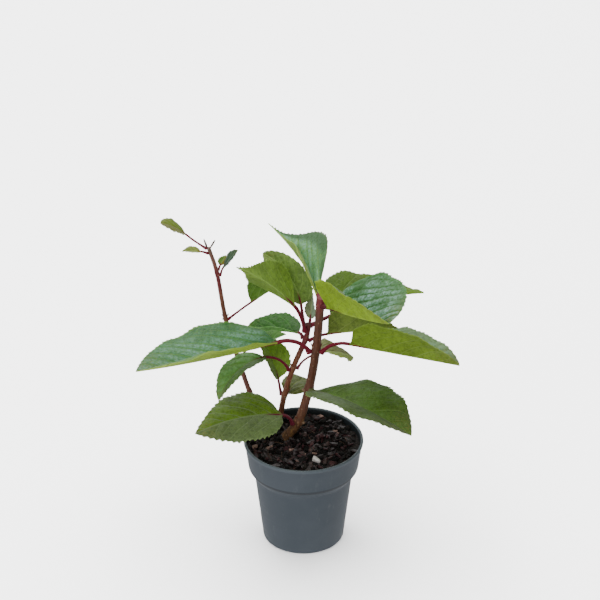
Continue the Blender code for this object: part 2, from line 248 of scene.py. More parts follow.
def closed_rings(rings, sides):
    """The quads between rings in a row, and one face on each end."""
    ends = [tuple(range(sides))[::-1], tuple(range((rings - 1) * sides, rings * sides))]
    return quads_between(rings, sides) + ends


def full_turn(sides):
    """Evenly spread angles round a circle."""
    return np.linspace(0.0, 2.0 * math.pi, sides, endpoint=False)


def smooth(piece, sharp_above=60.0):
    """Smooth shading, apart from edges sharper than an angle in degrees."""
    piece.data.shade_smooth()
    piece.data.set_sharp_from_angle(angle=math.radians(sharp_above))
    return piece


def arc(centre, radius, start, end, steps):
    """Points on a circular arc of a (radius, height) profile, angles in degrees."""
    turn = np.radians(np.linspace(start, end, steps))
    return [(centre[0] + radius * math.cos(t), centre[1] + radius * math.sin(t)) for t in turn]


def pot_inside(height):
    """Inner radius: the outer wall's taper less one wall."""
    outer = np.interp(height, (0.0, BODY_TOP, COLLAR_FOOT, POT_HEIGHT),
                      (BASE_RADIUS, BODY_TOP_RADIUS, COLLAR_FOOT_RADIUS, COLLAR_TOP_RADIUS))
    return outer - POT_WALL


def pot_profile():
    """The wall's section from the floor's underside, up the outside, over the rim and down."""
    rim_foot = POT_HEIGHT - RIM_DEPTH
    lip = LIP_RADIUS
    ring_inner = BASE_RADIUS - FOOT_RING
    profile = [(0.0, FLOOR_LIFT), (ring_inner - 1.0 * MM, FLOOR_LIFT), (ring_inner, 0.2 * MM),
               (ring_inner + 0.4 * MM, 0.0)]
    profile += arc((BASE_RADIUS - BASE_ROUNDING, BASE_ROUNDING), BASE_ROUNDING, -90.0, 0.0, 7)
    profile += [(BODY_TOP_RADIUS - 0.06 * MM, BODY_TOP - 1.0 * MM),
                (BODY_TOP_RADIUS + 0.25 * MM, BODY_TOP),
                (BODY_TOP_RADIUS + 1.1 * MM, BODY_TOP + 0.9 * MM),
                (COLLAR_FOOT_RADIUS - 0.9 * MM, COLLAR_FOOT - 1.6 * MM),
                (COLLAR_FOOT_RADIUS - 0.2 * MM, COLLAR_FOOT - 0.5 * MM),
                (COLLAR_FOOT_RADIUS + 0.05 * MM, COLLAR_FOOT + 0.4 * MM),
                (COLLAR_TOP_RADIUS - 0.05 * MM, rim_foot - COLLAR_SHOULDER),
                (COLLAR_TOP_RADIUS + 0.3 * MM, rim_foot)]
    profile += arc((RIM_RADIUS - lip, rim_foot + lip), lip, -70.0, 0.0, 5)
    profile += arc((RIM_RADIUS - lip, POT_HEIGHT - lip), lip, 0.0, 90.0, 6)
    inner_top = pot_inside(POT_HEIGHT)
    profile += arc((inner_top + lip, POT_HEIGHT - lip), lip, 90.0, 180.0, 6)
    profile += [(pot_inside(COLLAR_FOOT), COLLAR_FOOT + 0.6 * MM),
                (pot_inside(BODY_TOP), BODY_TOP + 0.3 * MM),
                (pot_inside(BASE_ROUNDING), BASE_ROUNDING + FLOOR_LIFT),
                (pot_inside(0.0) - 1.5 * MM, FLOOR_LIFT + POT_WALL), (0.0, FLOOR_LIFT + POT_WALL)]
    return profile


def resample(profile, step):
    """Adds points to a profile's straight runs so that none is longer than step."""
    points = [profile[0]]
    for start, end in zip(profile[:-1], profile[1:]):
        count = max(1, math.ceil(math.dist(start, end) / step))
        for share in (k / count for k in range(1, count + 1)):
            points.append(tuple(a + (b - a) * share for a, b in zip(start, end)))
    return points


def turn_profile(name, profile, sides, material):
    """Turns a (radius, height) profile that starts and ends on the axis into a closed shell."""
    middle = np.array(profile[1:-1])
    turn = full_turn(sides)
    rings = np.stack([middle[:, :1] * np.cos(turn), middle[:, :1] * np.sin(turn),
                      np.repeat(middle[:, 1:], sides, axis=1)], axis=2).reshape(-1, 3)
    count = len(rings)
    points = np.vstack([rings, [(0.0, 0.0, profile[0][1]), (0.0, 0.0, profile[-1][1])]])
    last = count - sides
    faces = quads_between(len(middle), sides)
    faces += [(count, (k + 1) % sides, k) for k in range(sides)]
    faces += [(count + 1, last + k, last + (k + 1) % sides) for k in range(sides)]
    return new_piece(name, points, faces, material)


def drill(piece, x, y, radius, reach, material):
    """Cuts one round hole along Z."""
    turn = full_turn(BIT_SIDES)
    ring = np.stack([x + radius * np.cos(turn), y + radius * np.sin(turn)], axis=1)
    points = np.vstack([np.column_stack([ring, np.full(BIT_SIDES, z)]) for z in (-reach, reach)])
    bit = new_piece("drill_bit", points, closed_rings(2, BIT_SIDES), material)
    hole = piece.modifiers.new("hole", "BOOLEAN")
    hole.operation = "DIFFERENCE"
    hole.solver = "EXACT"
    hole.object = bit
    bpy.context.view_layer.objects.active = piece
    bpy.ops.object.modifier_apply(modifier=hole.name)
    bpy.data.objects.remove(bit, do_unlink=True)


plastic = pot_plastic()
pot = turn_profile("nursery_pot", resample(pot_profile(), PROFILE_STEP), POT_SIDES, plastic)
for hole_index in range(DRAIN_COUNT):
    hole_turn = 2.0 * math.pi * (hole_index + DRAIN_TURN) / DRAIN_COUNT
    drill(pot, DRAIN_CIRCLE * math.cos(hole_turn), DRAIN_CIRCLE * math.sin(hole_turn),
          DRAIN_RADIUS, BIT_REACH, plastic)
smooth(pot, sharp_above=40.0)
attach(pot, "root")
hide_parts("pot")


# ---------------------------------------------------------------- bark mix
# Damp, nearly black composted bark that fills the pot to just under its rim, with loose flakes of
# redder and paler bark, a few pale bits of grit and some dry fibres lying on top.

SOIL_TOP = 81.0 * MM
SOIL_SIDES = 144
SOIL_RINGS = 64
SOIL_SUNK = 0.6 * MM  # how far the mix's middle level lies below its top
SOIL_GAP = 0.3 * MM  # between the mix and the pot's inside
WATERING_DIP = 2.2 * MM
DIP_RADIUS = 30.0 * MM
LUMPS = 1.1 * MM
CHIP_CORNERS = 7
CORNER_TURN = 0.25  # radians that a flake's corner may stray from its even place
CORNER_REACH = (0.72, 1.18)
LOWER_RIM = 0.92  # the lower rim's size to the upper one's
CROWN_OFF = 0.12  # of the length that a flake's thickest spot may lie off its middle
FLAKE_MARGIN = 3.4 * MM  # how near to the pot's wall flakes and fibres may lie
FIBRE_MARGIN = 9.0 * MM
FIBRE_STEPS = 9
FIBRE_SIDES = 5


def rolling(x, y, waves, shortest, longest, seed):
    """Seeded rolling ground of about 0 +- 1: plane waves of random heading, length and phase."""
    rng = np.random.default_rng(seed)
    total = np.zeros(np.broadcast(x, y).shape)
    for _ in range(waves):
        heading = rng.uniform(0.0, 2.0 * math.pi)
        length = math.exp(rng.uniform(math.log(shortest), math.log(longest)))
        phase = rng.uniform(0.0, 2.0 * math.pi)
        run = (x * math.cos(heading) + y * math.sin(heading)) * 2.0 * math.pi / length
        total += np.cos(run + phase) * (length / longest) ** 0.5
    return total / math.sqrt(waves)


def soil_height(x, y):
    """The mix's surface: a shallow dish round the stems with lumps a few millimetres wide."""
    dish = -WATERING_DIP * np.clip(1.0 - np.hypot(x, y) / DIP_RADIUS, 0.0, 1.0) ** 2
    lumps = LUMPS * rolling(x, y, waves=14, shortest=3.0 * MM, longest=16.0 * MM, seed=11)
    return SOIL_TOP - SOIL_SUNK + dish + lumps


def damp_bark():
    """Near-black mix whose crumbs turn reddish or grey in spots."""
    finish = Finish("damp_bark", {"Specular IOR Level": 0.35})
    crumbs = finish.noise(900.0, 5.0, 0.7)
    spots = finish.noise(260.0)
    tone = finish.layers((0.004, 0.003, 0.003), (crumbs.over(0.4, 0.75), (0.028, 0.014, 0.01)),
                         (spots.over(0.6, 0.72) * 0.5, (0.07, 0.03, 0.024)))
    return finish.done(tone, roughness=0.62 + 0.3 * crumbs, height=crumbs, strength=1.0,
                       distance=0.8 * MM)


def bark_bed():
    """A closed plug: a rolling top over a wall that follows the pot's inside, and a flat bottom."""
    turn = full_turn(SOIL_SIDES)[None, :]
    radius = np.linspace(0.015, 1.0, SOIL_RINGS)[:, None] ** 0.8 * (pot_inside(SOIL_TOP) - SOIL_GAP)
    x, y = radius * np.cos(turn), radius * np.sin(turn)
    top = np.stack([x, y, soil_height(x, y)], axis=2)
    levels = np.array([[COLLAR_FOOT], [BODY_TOP], [FLOOR_LIFT + POT_WALL + SOIL_GAP]])
    inside = pot_inside(levels) - SOIL_GAP
    wall = np.stack([inside * np.cos(turn), inside * np.sin(turn), levels + 0.0 * turn], axis=2)
    rings = np.vstack([top, wall])
    faces = [tuple(face[::-1]) for face in closed_rings(len(rings), SOIL_SIDES)]
    return new_piece("bark_bed", rings.reshape(-1, 3), faces, damp_bark())


bed = smooth(bark_bed(), sharp_above=75.0)
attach(bed, "root")
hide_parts("soil")


def bark_flake(name, dark, light, roughness=0.75, gloss=0.35):
    """Bark flakes: grain drawn out in one direction, from a darker tone to a lighter one."""
    finish = Finish(name, {"Specular IOR Level": gloss})
    grain = finish.noise(420.0, 4.0, 0.65, (1.0, 2.5, 2.0))
    return finish.done(finish.mix(grain.over(0.35, 0.68), dark, light),
                       roughness + 0.2 * (grain - 0.5), grain, strength=0.8, distance=0.4 * MM)


def turned(first, second, angle):
    """Two coordinates of each flake's points, turned by the flake's own angle in their plane."""
    cos, sin = np.cos(angle)[:, None], np.sin(angle)[:, None]
    return first * cos - second * sin, first * sin + second * cos


def chips(rng, x, y, height, length, breadth, depth, tilt_limit):
    """Flakes as joined meshes: each is a flat, broken ring of corners, thick in the middle.

    Every flake is an upper and a lower fan round a centre point. Its rim is an ellipse of length
    by breadth whose corners are moved in or out, and it is tilted, rolled, turned and set on the
    ground.
    """
    count, n = len(x), CHIP_CORNERS
    length, breadth, depth = length[:, None], breadth[:, None], depth[:, None]
    turn = full_turn(n)[None, :] + rng.uniform(-CORNER_TURN, CORNER_TURN, (count, n))
    reach = rng.uniform(*CORNER_REACH, (count, n))
    along = 0.5 * length * reach * np.cos(turn)
    aside = 0.5 * breadth * reach * np.sin(turn)
    curl = 0.25 * depth * rng.uniform(-1.0, 1.0, (count, n))
    off = rng.uniform(-CROWN_OFF, CROWN_OFF, (count, 2)) * length
    heading = rng.uniform(0.0, 2.0 * math.pi, count)
    tilt = rng.normal(0.0, tilt_limit, count)
    roll = rng.normal(0.0, tilt_limit, count)

    # Each flake's points in order: crown, upper rim, lower rim, belly.
    x_own = np.hstack([off[:, :1], along, LOWER_RIM * along, off[:, :1]])
    y_own = np.hstack([off[:, 1:], aside, LOWER_RIM * aside, off[:, 1:]])
    rise = np.hstack([0.55 * depth, curl + 0.3 * depth, curl - 0.3 * depth, -0.55 * depth])
    x_own, rise = turned(x_own, rise, tilt)
    y_own, rise = turned(y_own, rise, roll)
    x_own, y_own = turned(x_own, y_own, heading)
    points = np.stack([x[:, None] + x_own, y[:, None] + y_own, height[:, None] + rise], axis=2)
    pattern = []
    for k in range(n):
        after = (k + 1) % n
        pattern += [(0, 1 + k, 1 + after), (1 + k, 1 + n + k, 1 + n + after),
                    (1 + k, 1 + n + after, 1 + after), (2 * n + 1, 1 + n + after, 1 + n + k)]
    faces = np.arange(count)[:, None, None] * (2 * n + 2) + np.array(pattern)[None]
    return points.reshape(-1, 3), faces.reshape(-1, 3).tolist()


def lay(name, rng, x, y, lift, length, breadth, depth, tilt_limit, material):
    """Lays flakes on the mix as one piece, lifted above its surface."""
    height = soil_height(x, y) + lift
    points, faces = chips(rng, x, y, height, length, breadth, depth, tilt_limit)
    piece = new_piece(name, points, faces, material)
    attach(piece, "root")


def scatter(rng, count, edge):
    """Even spots on the mix, no nearer to the pot's wall than edge."""
    radius = (pot_inside(SOIL_TOP) - edge) * np.sqrt(rng.uniform(0.0, 1.0, count))
    turn = rng.uniform(0.0, 2.0 * math.pi, count)
    return radius * np.cos(turn), radius * np.sin(turn)


def strew(name, seed, count, length, breadth, depth, sink, tilt_limit, material):
    """A kind of flake strewn over the mix.

    length and depth are (least, most) in millimetres, and breadth is so as a share of the length.
    sink is how far in millimetres a flake may lie above or below the surface, and tilt_limit the
    spread of its tilt in radians.
    """
    rng = np.random.default_rng(seed)
    size = rng.uniform(*length, count) * MM
    x, y = scatter(rng, count, FLAKE_MARGIN)
    lay(name, rng, x, y, rng.uniform(-sink, sink, count) * MM, size,
        size * rng.uniform(*breadth, count), rng.uniform(*depth, count) * MM, tilt_limit, material)


strew("black_crumbs", 21, 520, (3.0, 7.0), (0.45, 0.85), (1.2, 2.8), 1.4, 0.7,
      bark_flake("black_crumb", (0.0012, 0.0009, 0.0009), (0.006, 0.0038, 0.0034), 0.7, 0.2))
strew("dark_flakes", 22, 230, (5.0, 11.0), (0.32, 0.6), (1.0, 2.6), 1.9, 0.65,
      bark_flake("dark_flake", (0.003, 0.002, 0.002), (0.042, 0.023, 0.025), 0.42, 0.4))
strew("red_flakes", 23, 105, (4.5, 9.5), (0.3, 0.6), (1.0, 2.2), 2.0, 0.6,
      bark_flake("red_flake", (0.01, 0.003, 0.004), (0.075, 0.021, 0.025), 0.5, 0.3))
strew("broad_flakes", 26, 26, (8.0, 13.0), (0.35, 0.55), (1.2, 2.2), 1.2, 0.4,
      bark_flake("broad_flake", (0.012, 0.004, 0.004), (0.06, 0.022, 0.022), 0.45, 0.4))
strew("brown_flakes", 24, 26, (3.5, 7.5), (0.3, 0.6), (0.9, 1.8), 2.0, 0.6,
      bark_flake("brown_flake", (0.02, 0.009, 0.008), (0.1, 0.05, 0.044), 0.5, 0.3))
strew("tan_flakes", 25, 12, (2.0, 3.5), (0.35, 0.6), (0.8, 1.3), 1.6, 0.5,
      bark_flake("tan_flake", (0.1, 0.055, 0.048), (0.28, 0.175, 0.15)))


def lay_one(name, seed, x, y, length, breadth, depth, lift, tilt_limit, material):
    """Lays a single flake or stone at a known spot. Lengths are in millimetres."""
    x, y, *size = (np.array([part * MM]) for part in (x, y, length, breadth, depth))
    lay(name, np.random.default_rng(seed), x, y, lift * MM, *size, tilt_limit, material)


# The larger pale flakes: x, y, length and breadth in mm.
PALE_BITS = {
    "pale_flake_left": (-27.0, -8.5, 8.5, 6.0),
    "pale_flake_wall": (-37.0, -7.0, 6.5, 4.5),
    "pale_flake_back": (11.5, 34.5, 8.0, 5.0),
    "pale_flake_right": (24.0, 15.5, 5.0, 3.4),
    "pale_flake_middle": (-9.5, -11.0, 4.6, 3.0),
    "pale_flake_front": (8.0, -16.0, 6.0, 1.8),
}
for bit_seed, (bit_name, bit) in enumerate(PALE_BITS.items(), start=60):
    lay_one(bit_name, bit_seed, *bit, depth=1.8, lift=2.6, tilt_limit=0.3,
            material=bark_flake(bit_name, (0.1, 0.05, 0.042), (0.34, 0.21, 0.175)))
lay_one("white_stone", 71, x=9.7, y=-25.5, length=8.0, breadth=5.2, depth=3.6, lift=2.8,
        tilt_limit=0.5, material=bark_flake("white_stone", (0.42, 0.38, 0.36), (0.75, 0.7, 0.68)))


def fibres(seed, count):
    """Dry root and bark fibres: thin bent tubes that lie on the flakes and taper to one end."""
    rng = np.random.default_rng(seed)
    x, y = scatter(rng, count, FIBRE_MARGIN)
    length = rng.uniform(6.0, 15.0, count)[:, None] * MM
    bend = rng.uniform(-2.4, 2.4, count)[:, None]
    share = np.linspace(0.0, 1.0, FIBRE_STEPS)[None, :]
    way = rng.uniform(0.0, 2.0 * math.pi, count)[:, None] + bend * share
    path_x = x[:, None] + np.cumsum(np.cos(way), axis=1) * length / FIBRE_STEPS
    path_y = y[:, None] + np.cumsum(np.sin(way), axis=1) * length / FIBRE_STEPS
    path_z = soil_height(path_x, path_y) + 1.6 * MM + 1.2 * MM * np.sin(math.pi * share)
    girth = (rng.uniform(0.16, 0.32, count)[:, None] * MM * (1.0 - 0.7 * share))[:, :, None]
    out, up = girth * np.cos(full_turn(FIBRE_SIDES)), girth * np.sin(full_turn(FIBRE_SIDES))
    points = np.stack([path_x[:, :, None] - out * np.sin(way)[:, :, None],
                       path_y[:, :, None] + out * np.cos(way)[:, :, None],
                       path_z[:, :, None] + up], axis=3)
    own = FIBRE_STEPS * FIBRE_SIDES
    faces = [[first + corner for corner in face] for first in range(0, count * own, own)
             for face in closed_rings(FIBRE_STEPS, FIBRE_SIDES)]
    return points.reshape(-1, 3), faces


dry_fibres = new_piece("dry_fibres", *fibres(seed=31, count=14),
                       bark_flake("dry_fibre", (0.06, 0.03, 0.02), (0.16, 0.09, 0.06)))
smooth(dry_fibres)
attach(dry_fibres, "root")


# ---------------------------------------------------------------- stems
# Three woody shoots that rise from the mix: smooth reddish brown bark over a tan, rougher foot, low
# ridges that run along the shoot, small corky dots, and a swollen joint wherever leaves grow. The
# main shoot ends in a pruned stub, and the thin left one in a grey, dried tip.

STEM_SIDES = 36
STEM_STEPS = 22  # rings in each span between two nodes
STEM_SUNK = 4.0 * MM  # how far the bark runs on below the mix's surface
NODE_SWELLING = 0.17
NODE_REACH = 2.4 * MM
FOOT_FLARE = 0.18
FLARE_REACH = 5.0 * MM
ROUGH_REACH = 16.0 * MM  # how far up the foot's rough bark fades out
RIDGES = (3, 5, 7, 9)  # folds round the stem, each shallower than the last
RIDGE_SWAY = 12.0  # radians a metre
RIDGE_DEPTH = 0.03  # of the radius
ROUGH_DEPTH = 0.022
JOINT_CRIMSON = (0.2, 0.012, 0.03)
STREAK_DARK = (0.03, 0.011, 0.007)
STREAK_PALE = (0.36, 0.17, 0.09)
CORK = (0.4, 0.25, 0.15)
FLAKE_DARK = (0.035, 0.016, 0.007)
FLAKE_GOLD = (0.32, 0.17, 0.045)
BAKE_END = 0.04  # the share of a tube's bake map that each end cap takes


def curve_through(points, steps):
    """Smooth curve through all points (Catmull-Rom), with the same steps in each span."""
    ends = (2.0 * points[0] - points[1], 2.0 * points[-1] - points[-2])
    before, start, end, after = (np.vstack([ends[0], points, ends[1]])[k:len(points) - 1 + k, None]
                                 for k in range(4))
    t = np.linspace(0.0, 1.0, steps, endpoint=False)[None, :, None]
    curve = 0.5 * (2.0 * start + (end - before) * t
                   + (2.0 * before - 5.0 * start + 4.0 * end - after) * t ** 2
                   + (3.0 * start - before - 3.0 * end + after) * t ** 3)
    return np.vstack([curve.reshape(-1, 3), points[-1]])


def unit(ways):
    """One vector, or a list of them, brought to a length of 1."""
    return ways / np.linalg.norm(ways, axis=-1, keepdims=True)


def bell(value):
    """1 at 0, and a smooth fall on both sides."""
    return np.exp(-value ** 2)


class Stem:
    """A tapering stem: its foot, its leaf nodes from the lowest up, and its cut tip."""

    def __init__(self, foot_radius, tip_radius, foot, nodes, tip):
        self.points = np.array([(*foot, SOIL_TOP / MM), *nodes, tip]) * MM
        self.route = curve_through(self.points, STEM_STEPS)
        self.foot_radius = foot_radius * MM
        self.tip_radius = tip_radius * MM

    def radius(self, height):
        """Even taper from the foot to the tip."""
        share = (height - self.points[0, 2]) / (self.points[-1, 2] - self.points[0, 2])
        return self.foot_radius + (self.tip_radius - self.foot_radius) * share

    def axis_near(self, node, lift):
        """The point on the stem's axis at a height of lift above a node."""
        x, y, z = self.route.T
        height = self.points[node, 2] + lift
        return np.array([np.interp(height, z, x), np.interp(height, z, y), height])

    def rings(self, seed):
        """Rings square to the route: taper, swellings at the nodes, ridges and a sunken foot."""
        rng = np.random.default_rng(seed)
        foot = unit(self.route[1] - self.route[0])
        route = np.vstack([self.route[0] - STEM_SUNK * foot, self.route])
        along = unit(np.gradient(route, axis=0))
        right = unit(np.cross(np.array([0.0, 1.0, 0.0]), along))
        front = np.cross(along, right)
        height = route[:, 2:]
        above = np.clip(height - SOIL_TOP, 0.0, None)
        turn = full_turn(STEM_SIDES)[None, :]
        radius = self.radius(height)
        for node in self.points[1:-1]:
            radius = radius * (1.0 + NODE_SWELLING * bell((height - node[2]) / NODE_REACH))
        ridge = np.zeros((len(route), STEM_SIDES))
        for folds in RIDGES:
            sway = rng.uniform(0.0, 2.0 * math.pi) + rng.uniform(-RIDGE_SWAY, RIDGE_SWAY) * height
            ridge += np.cos(folds * turn + sway) / folds
        rough = rolling(turn * self.foot_radius * 2.0, height, waves=10, shortest=1.5 * MM,
                        longest=9.0 * MM, seed=seed + 1)
        rough *= 0.35 + 1.2 * np.exp(-above / ROUGH_REACH)
        radius = radius * (1.0 + FOOT_FLARE * np.exp(-above / FLARE_REACH))
        radius = radius * (1.0 + RIDGE_DEPTH * ridge + ROUGH_DEPTH * rough)
        ring = np.cos(turn)[:, :, None] * right[:, None] + np.sin(turn)[:, :, None] * front[:, None]
        return route[:, None] + radius[:, :, None] * ring


def tube(name, rings, *materials):
    """A closed tube from rings of equal count, with a bake map: along the tube by round it."""
    rows, sides = rings.shape[:2]
    piece = new_piece(name, rings.reshape(-1, 3), closed_rings(rows, sides), *materials)
    row = np.repeat(np.arange(rows - 1), sides)[:, None] + np.array([0, 0, 1, 1])
    column = np.tile(np.arange(sides), rows - 1)[:, None] + np.array([0, 1, 1, 0])
    body = np.stack([BAKE_END + (1.0 - 2.0 * BAKE_END) * row / (rows - 1), column / sides], axis=2)
    turn = full_turn(sides)
    cap = np.stack([0.35 * BAKE_END * np.cos(turn), 0.4 * np.sin(turn)], axis=1)
    first, last = (0.45 * BAKE_END, 0.5) + cap[::-1], (1.0 - 0.45 * BAKE_END, 0.5) + cap
    spots = np.vstack([body.reshape(-1, 2), first, last])
    bake = piece.data.uv_layers.new(name="OFBake")
    bake.data.foreach_set("uv", spots.astype(np.float32).ravel())
    return piece


def stem_bark(name, foot, middle, top, foot_end, top_start, joint):
    """Bark whose tone changes with height: tan and flaky below, redder or greyer above.

    joint is the height of a node that is tinged with the leaf stalks' crimson.
    """
    finish = Finish(name, {"Specular IOR Level": 0.4})
    streak = finish.noise(900.0, 4.0, 0.6, (1.0, 1.0, 0.12))
    patch = finish.noise(160.0, stretch=(1.0, 1.0, 0.5))
    flaky = finish.noise(500.0, 5.0, 0.7, (1.0, 1.0, 0.25))
    cork = finish.node("ShaderNodeTexVoronoi", {},
                       {"Vector": finish.spot((1.0, 1.0, 0.6)), "Scale": 420.0})
    dots = cork.over(0.26, 0.14)
    height = finish.part(finish.spot(), "Z")
    blurred = height + (patch - 0.5) * 0.02
    low = blurred.over(foot_end, SOIL_TOP)
    high = blurred.over(top_start, top_start + 0.03)
    tone = finish.layers(middle, (high, top), (low, foot),
                         (abs(height - joint).over(0.016, 0.004) * 0.75, JOINT_CRIMSON),
                         (streak.over(0.45, 0.7) * 0.55, STREAK_DARK),
                         (streak.over(0.42, 0.3) * 0.35, STREAK_PALE),
                         (dots * 0.35, CORK),
                         (low * flaky.over(0.48, 0.36) * 0.8, FLAKE_DARK),
                         (low * flaky.over(0.54, 0.66) * 0.55, FLAKE_GOLD))
    return finish.done(tone, roughness=0.46 + 0.2 * streak + 0.2 * low,
                       height=streak * 0.5 + dots * 0.5 + flaky * low, strength=0.6,
                       distance=0.3 * MM)


# Lengths in mm: foot and tip radius, foot (x, y), and nodes and tip (x, y, z).
stem_main = Stem(3.5, 3.1, foot=(-13.5, 9.5), tip=(13.0, 7.9, 205.8),
                 nodes=[(-3.7, 7.5, 96.8), (4.2, 8.5, 125.8), (9.4, 8.5, 159.6), (12.5, 8, 199.4)])
stem_second = Stem(2.2, 2.0, foot=(-18.8, 29), tip=(3.7, 22, 174.8),
                   nodes=[(-14.6, 27, 107.8), (-8, 25, 133.3), (1.7, 23, 160.8), (3.4, 22, 172.3)])
stem_third = Stem(2.0, 1.5, foot=(-29, 23.5), tip=(-70.7, 20, 241.8),
                  nodes=[(-41.2, 25, 112.2), (-50, 24, 143.8), (-58.8, 23, 178.8),
                         (-64.7, 21, 219.3)])

# Each stem's seed, then its bark: tones of foot, middle and top, and the heights in metres where
# the foot's tone ends, where the top's begins, and of the crimson joint.
shoots = {
    "stem_main": (stem_main, 41, (0.1, 0.045, 0.015), (0.115, 0.038, 0.018), (0.11, 0.05, 0.018),
                  0.118, 0.184, 0.206),
    "stem_second": (stem_second, 43, (0.16, 0.065, 0.03), (0.19, 0.062, 0.026),
                    (0.08, 0.013, 0.012), 0.101, 0.141, 0.161),
    "stem_third": (stem_third, 45, (0.16, 0.065, 0.035), (0.2, 0.062, 0.042), (0.17, 0.115, 0.09),
                   0.096, 0.222, 0.214),
}
for shoot_name, (shoot, shoot_seed, *tones) in shoots.items():
    bark = stem_bark(shoot_name.removeprefix("stem_") + "_bark", *tones)
    shoot_piece = smooth(tube(shoot_name + "_bark", shoot.rings(shoot_seed), bark),
                         sharp_above=50.0)
    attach(shoot_piece, "root")
    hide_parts(shoot_name)


# ---------------------------------------------------------------- buds and scars
# Small pointed buds in the angles of the leaves, wrapped in two reddish scales, tan scars where
# older leaves fell, and two dry, grey-brown buds that are left at the thin stem's tip.

BUD_RINGS = 14
BUD_SIDES = 14
BUD_SEAT = 0.75  # how far out a bud's foot sits, in stem radii
SCAR_CLIMB = 8.0  # degrees
SCAR_RADIUS = 0.62  # in stem radii
SCAR_LENGTH = 1.5  # in its own radii, as is how deep it sits
SCAR_SEAT = 0.55
DRY_BUD_LENGTH = 8.4 * MM
DRY_BUD_RADIUS = 0.95 * MM
DRY_BUD_POINT = 0.45
DRY_BUD_OFFSET = 0.9 * MM


def level(heading):
    """A level direction from a heading in degrees."""
    return np.array([math.cos(math.radians(heading)), math.sin(math.radians(heading)), 0.0])


def bud_rings(base, heading, climb, length, radius, point=0.8):
    """A bud: girth follows share**0.5 * (1 - share)**point about its axis, a little flat."""
    share = np.linspace(0.0, 1.0, BUD_RINGS)[:, None]
    climb = math.radians(climb)
    way = math.cos(climb) * level(heading) + np.array([0.0, 0.0, math.sin(climb)])
    right = level(heading + 90.0)
    front = np.cross(way, right)
    girth = radius * np.maximum((share + 0.12) ** 0.5 * (1.0 - share) ** point * 1.55, 0.06)
    turn = full_turn(BUD_SIDES)
    girth = girth * (1.0 + 0.09 * np.cos(2.0 * turn + 5.0 * share))
    ring = np.cos(turn)[:, None] * right + 0.8 * np.sin(turn)[:, None] * front
    return base + (share * length * way)[:, None] + girth[:, :, None] * ring


def bud_scale(name, tone, tip_tone):
    """Bud scales: fine streaks along the bud, dull sheen."""
    finish = Finish(name, {"Specular IOR Level": 0.4})
    streak = finish.noise(1400.0, stretch=(1.0, 1.0, 0.3))
    return finish.done(finish.mix(streak.over(0.35, 0.7), tone, tip_tone), 0.5 + 0.2 * streak,
                       streak, strength=0.5, distance=0.2 * MM)


red_scale = bud_scale("red_bud_scale", (0.12, 0.02, 0.018), (0.2, 0.09, 0.03))
grey_scale = bud_scale("dry_bud_scale", (0.06, 0.04, 0.032), (0.2, 0.15, 0.125))
scar_cork = bud_scale("scar_cork", (0.1, 0.055, 0.03), (0.3, 0.19, 0.11))

# Stem, node, lift above the node in mm, heading, climb, length and radius in mm.
AXIL_BUDS = {
    "bud_main_low": (stem_main, 1, 2.5, 215, 62, 4.0, 1.1),
    "bud_main_right": (stem_main, 2, 2.0, 330, 60, 3.6, 1.0),
    "bud_main_left_pair": (stem_main, 3, 2.6, 190, 66, 4.6, 1.2),
    "bud_main_right_pair": (stem_main, 3, 2.6, 345, 66, 4.6, 1.2),
    "bud_second_left": (stem_second, 2, 2.2, 200, 64, 3.6, 0.9),
    "bud_second_right": (stem_second, 2, 2.2, 20, 64, 3.6, 0.9),
    "bud_second_low": (stem_second, 1, 2.0, 90, 60, 3.2, 0.85),
    "bud_second_front": (stem_second, 3, 2.0, 290, 60, 3.4, 0.9),
    "bud_third_low": (stem_third, 2, 1.8, 340, 62, 2.8, 0.75),
    "bud_third_left": (stem_third, 3, 1.8, 178, 55, 2.6, 0.8),
    "bud_third_right": (stem_third, 3, 1.6, 5, 60, 3.2, 0.8),
}
for bud_name, (shoot, node, lift, heading, climb, length, radius) in AXIL_BUDS.items():
    base = shoot.axis_near(node, lift * MM)
    base = base + BUD_SEAT * shoot.radius(base[2]) * level(heading)
    bud = tube(bud_name, bud_rings(base, heading, climb, length * MM, radius * MM), red_scale)
    smooth(bud)
    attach(bud, "root")

# Stem, node, lift in mm, heading.
LEAF_SCARS = {
    "scar_main_low": (stem_main, 1, -0.5, 330), "scar_main_right": (stem_main, 2, -0.8, 200),
    "scar_third_left": (stem_third, 3, -0.6, 185), "scar_third_low": (stem_third, 1, 0.0, 255),
    "scar_second_front": (stem_second, 1, -0.4, 285), "scar_third_top": (stem_third, 4, -1.0, 300),
}
for scar_name, (shoot, node, lift, heading) in LEAF_SCARS.items():
    base = shoot.axis_near(node, lift * MM)
    radius = SCAR_RADIUS * shoot.radius(base[2])
    reach = shoot.radius(base[2]) * (1.0 + NODE_SWELLING) - SCAR_SEAT * radius
    base = base + reach * level(heading)
    rings = bud_rings(base, heading, SCAR_CLIMB, SCAR_LENGTH * radius, radius)
    scar = tube(scar_name, rings, scar_cork)
    smooth(scar)
    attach(scar, "root")

for dry_name, (heading, climb) in {"dry_bud_left": (160, 70), "dry_bud_right": (10, 60)}.items():
    base = stem_third.points[-1] + DRY_BUD_OFFSET * (level(heading) - np.array([0.0, 0.0, 1.0]))
    rings = bud_rings(base, heading, climb, DRY_BUD_LENGTH, DRY_BUD_RADIUS, DRY_BUD_POINT)
    dry_bud = tube(dry_name + "_scales", rings, grey_scale)
    smooth(dry_bud)
    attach(dry_bud, "root")
    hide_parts(dry_name)


# ---------------------------------------------------------------- leaves
# Opposite, stalked, saw-edged leaves. Each is a thin satin blade, olive to bloomy blue-green above
# and yellow-green below, quilted between the side veins and folded up along a rib that stands out
# underneath. Its crimson stalk grows out of a stem's node. Their colours hold painted light: a pale
# film of painted sheen between the veins of the bloomy ones, painted shade in the grooves along the
# veins, and painted light shining through the blade that brightens the tones below.

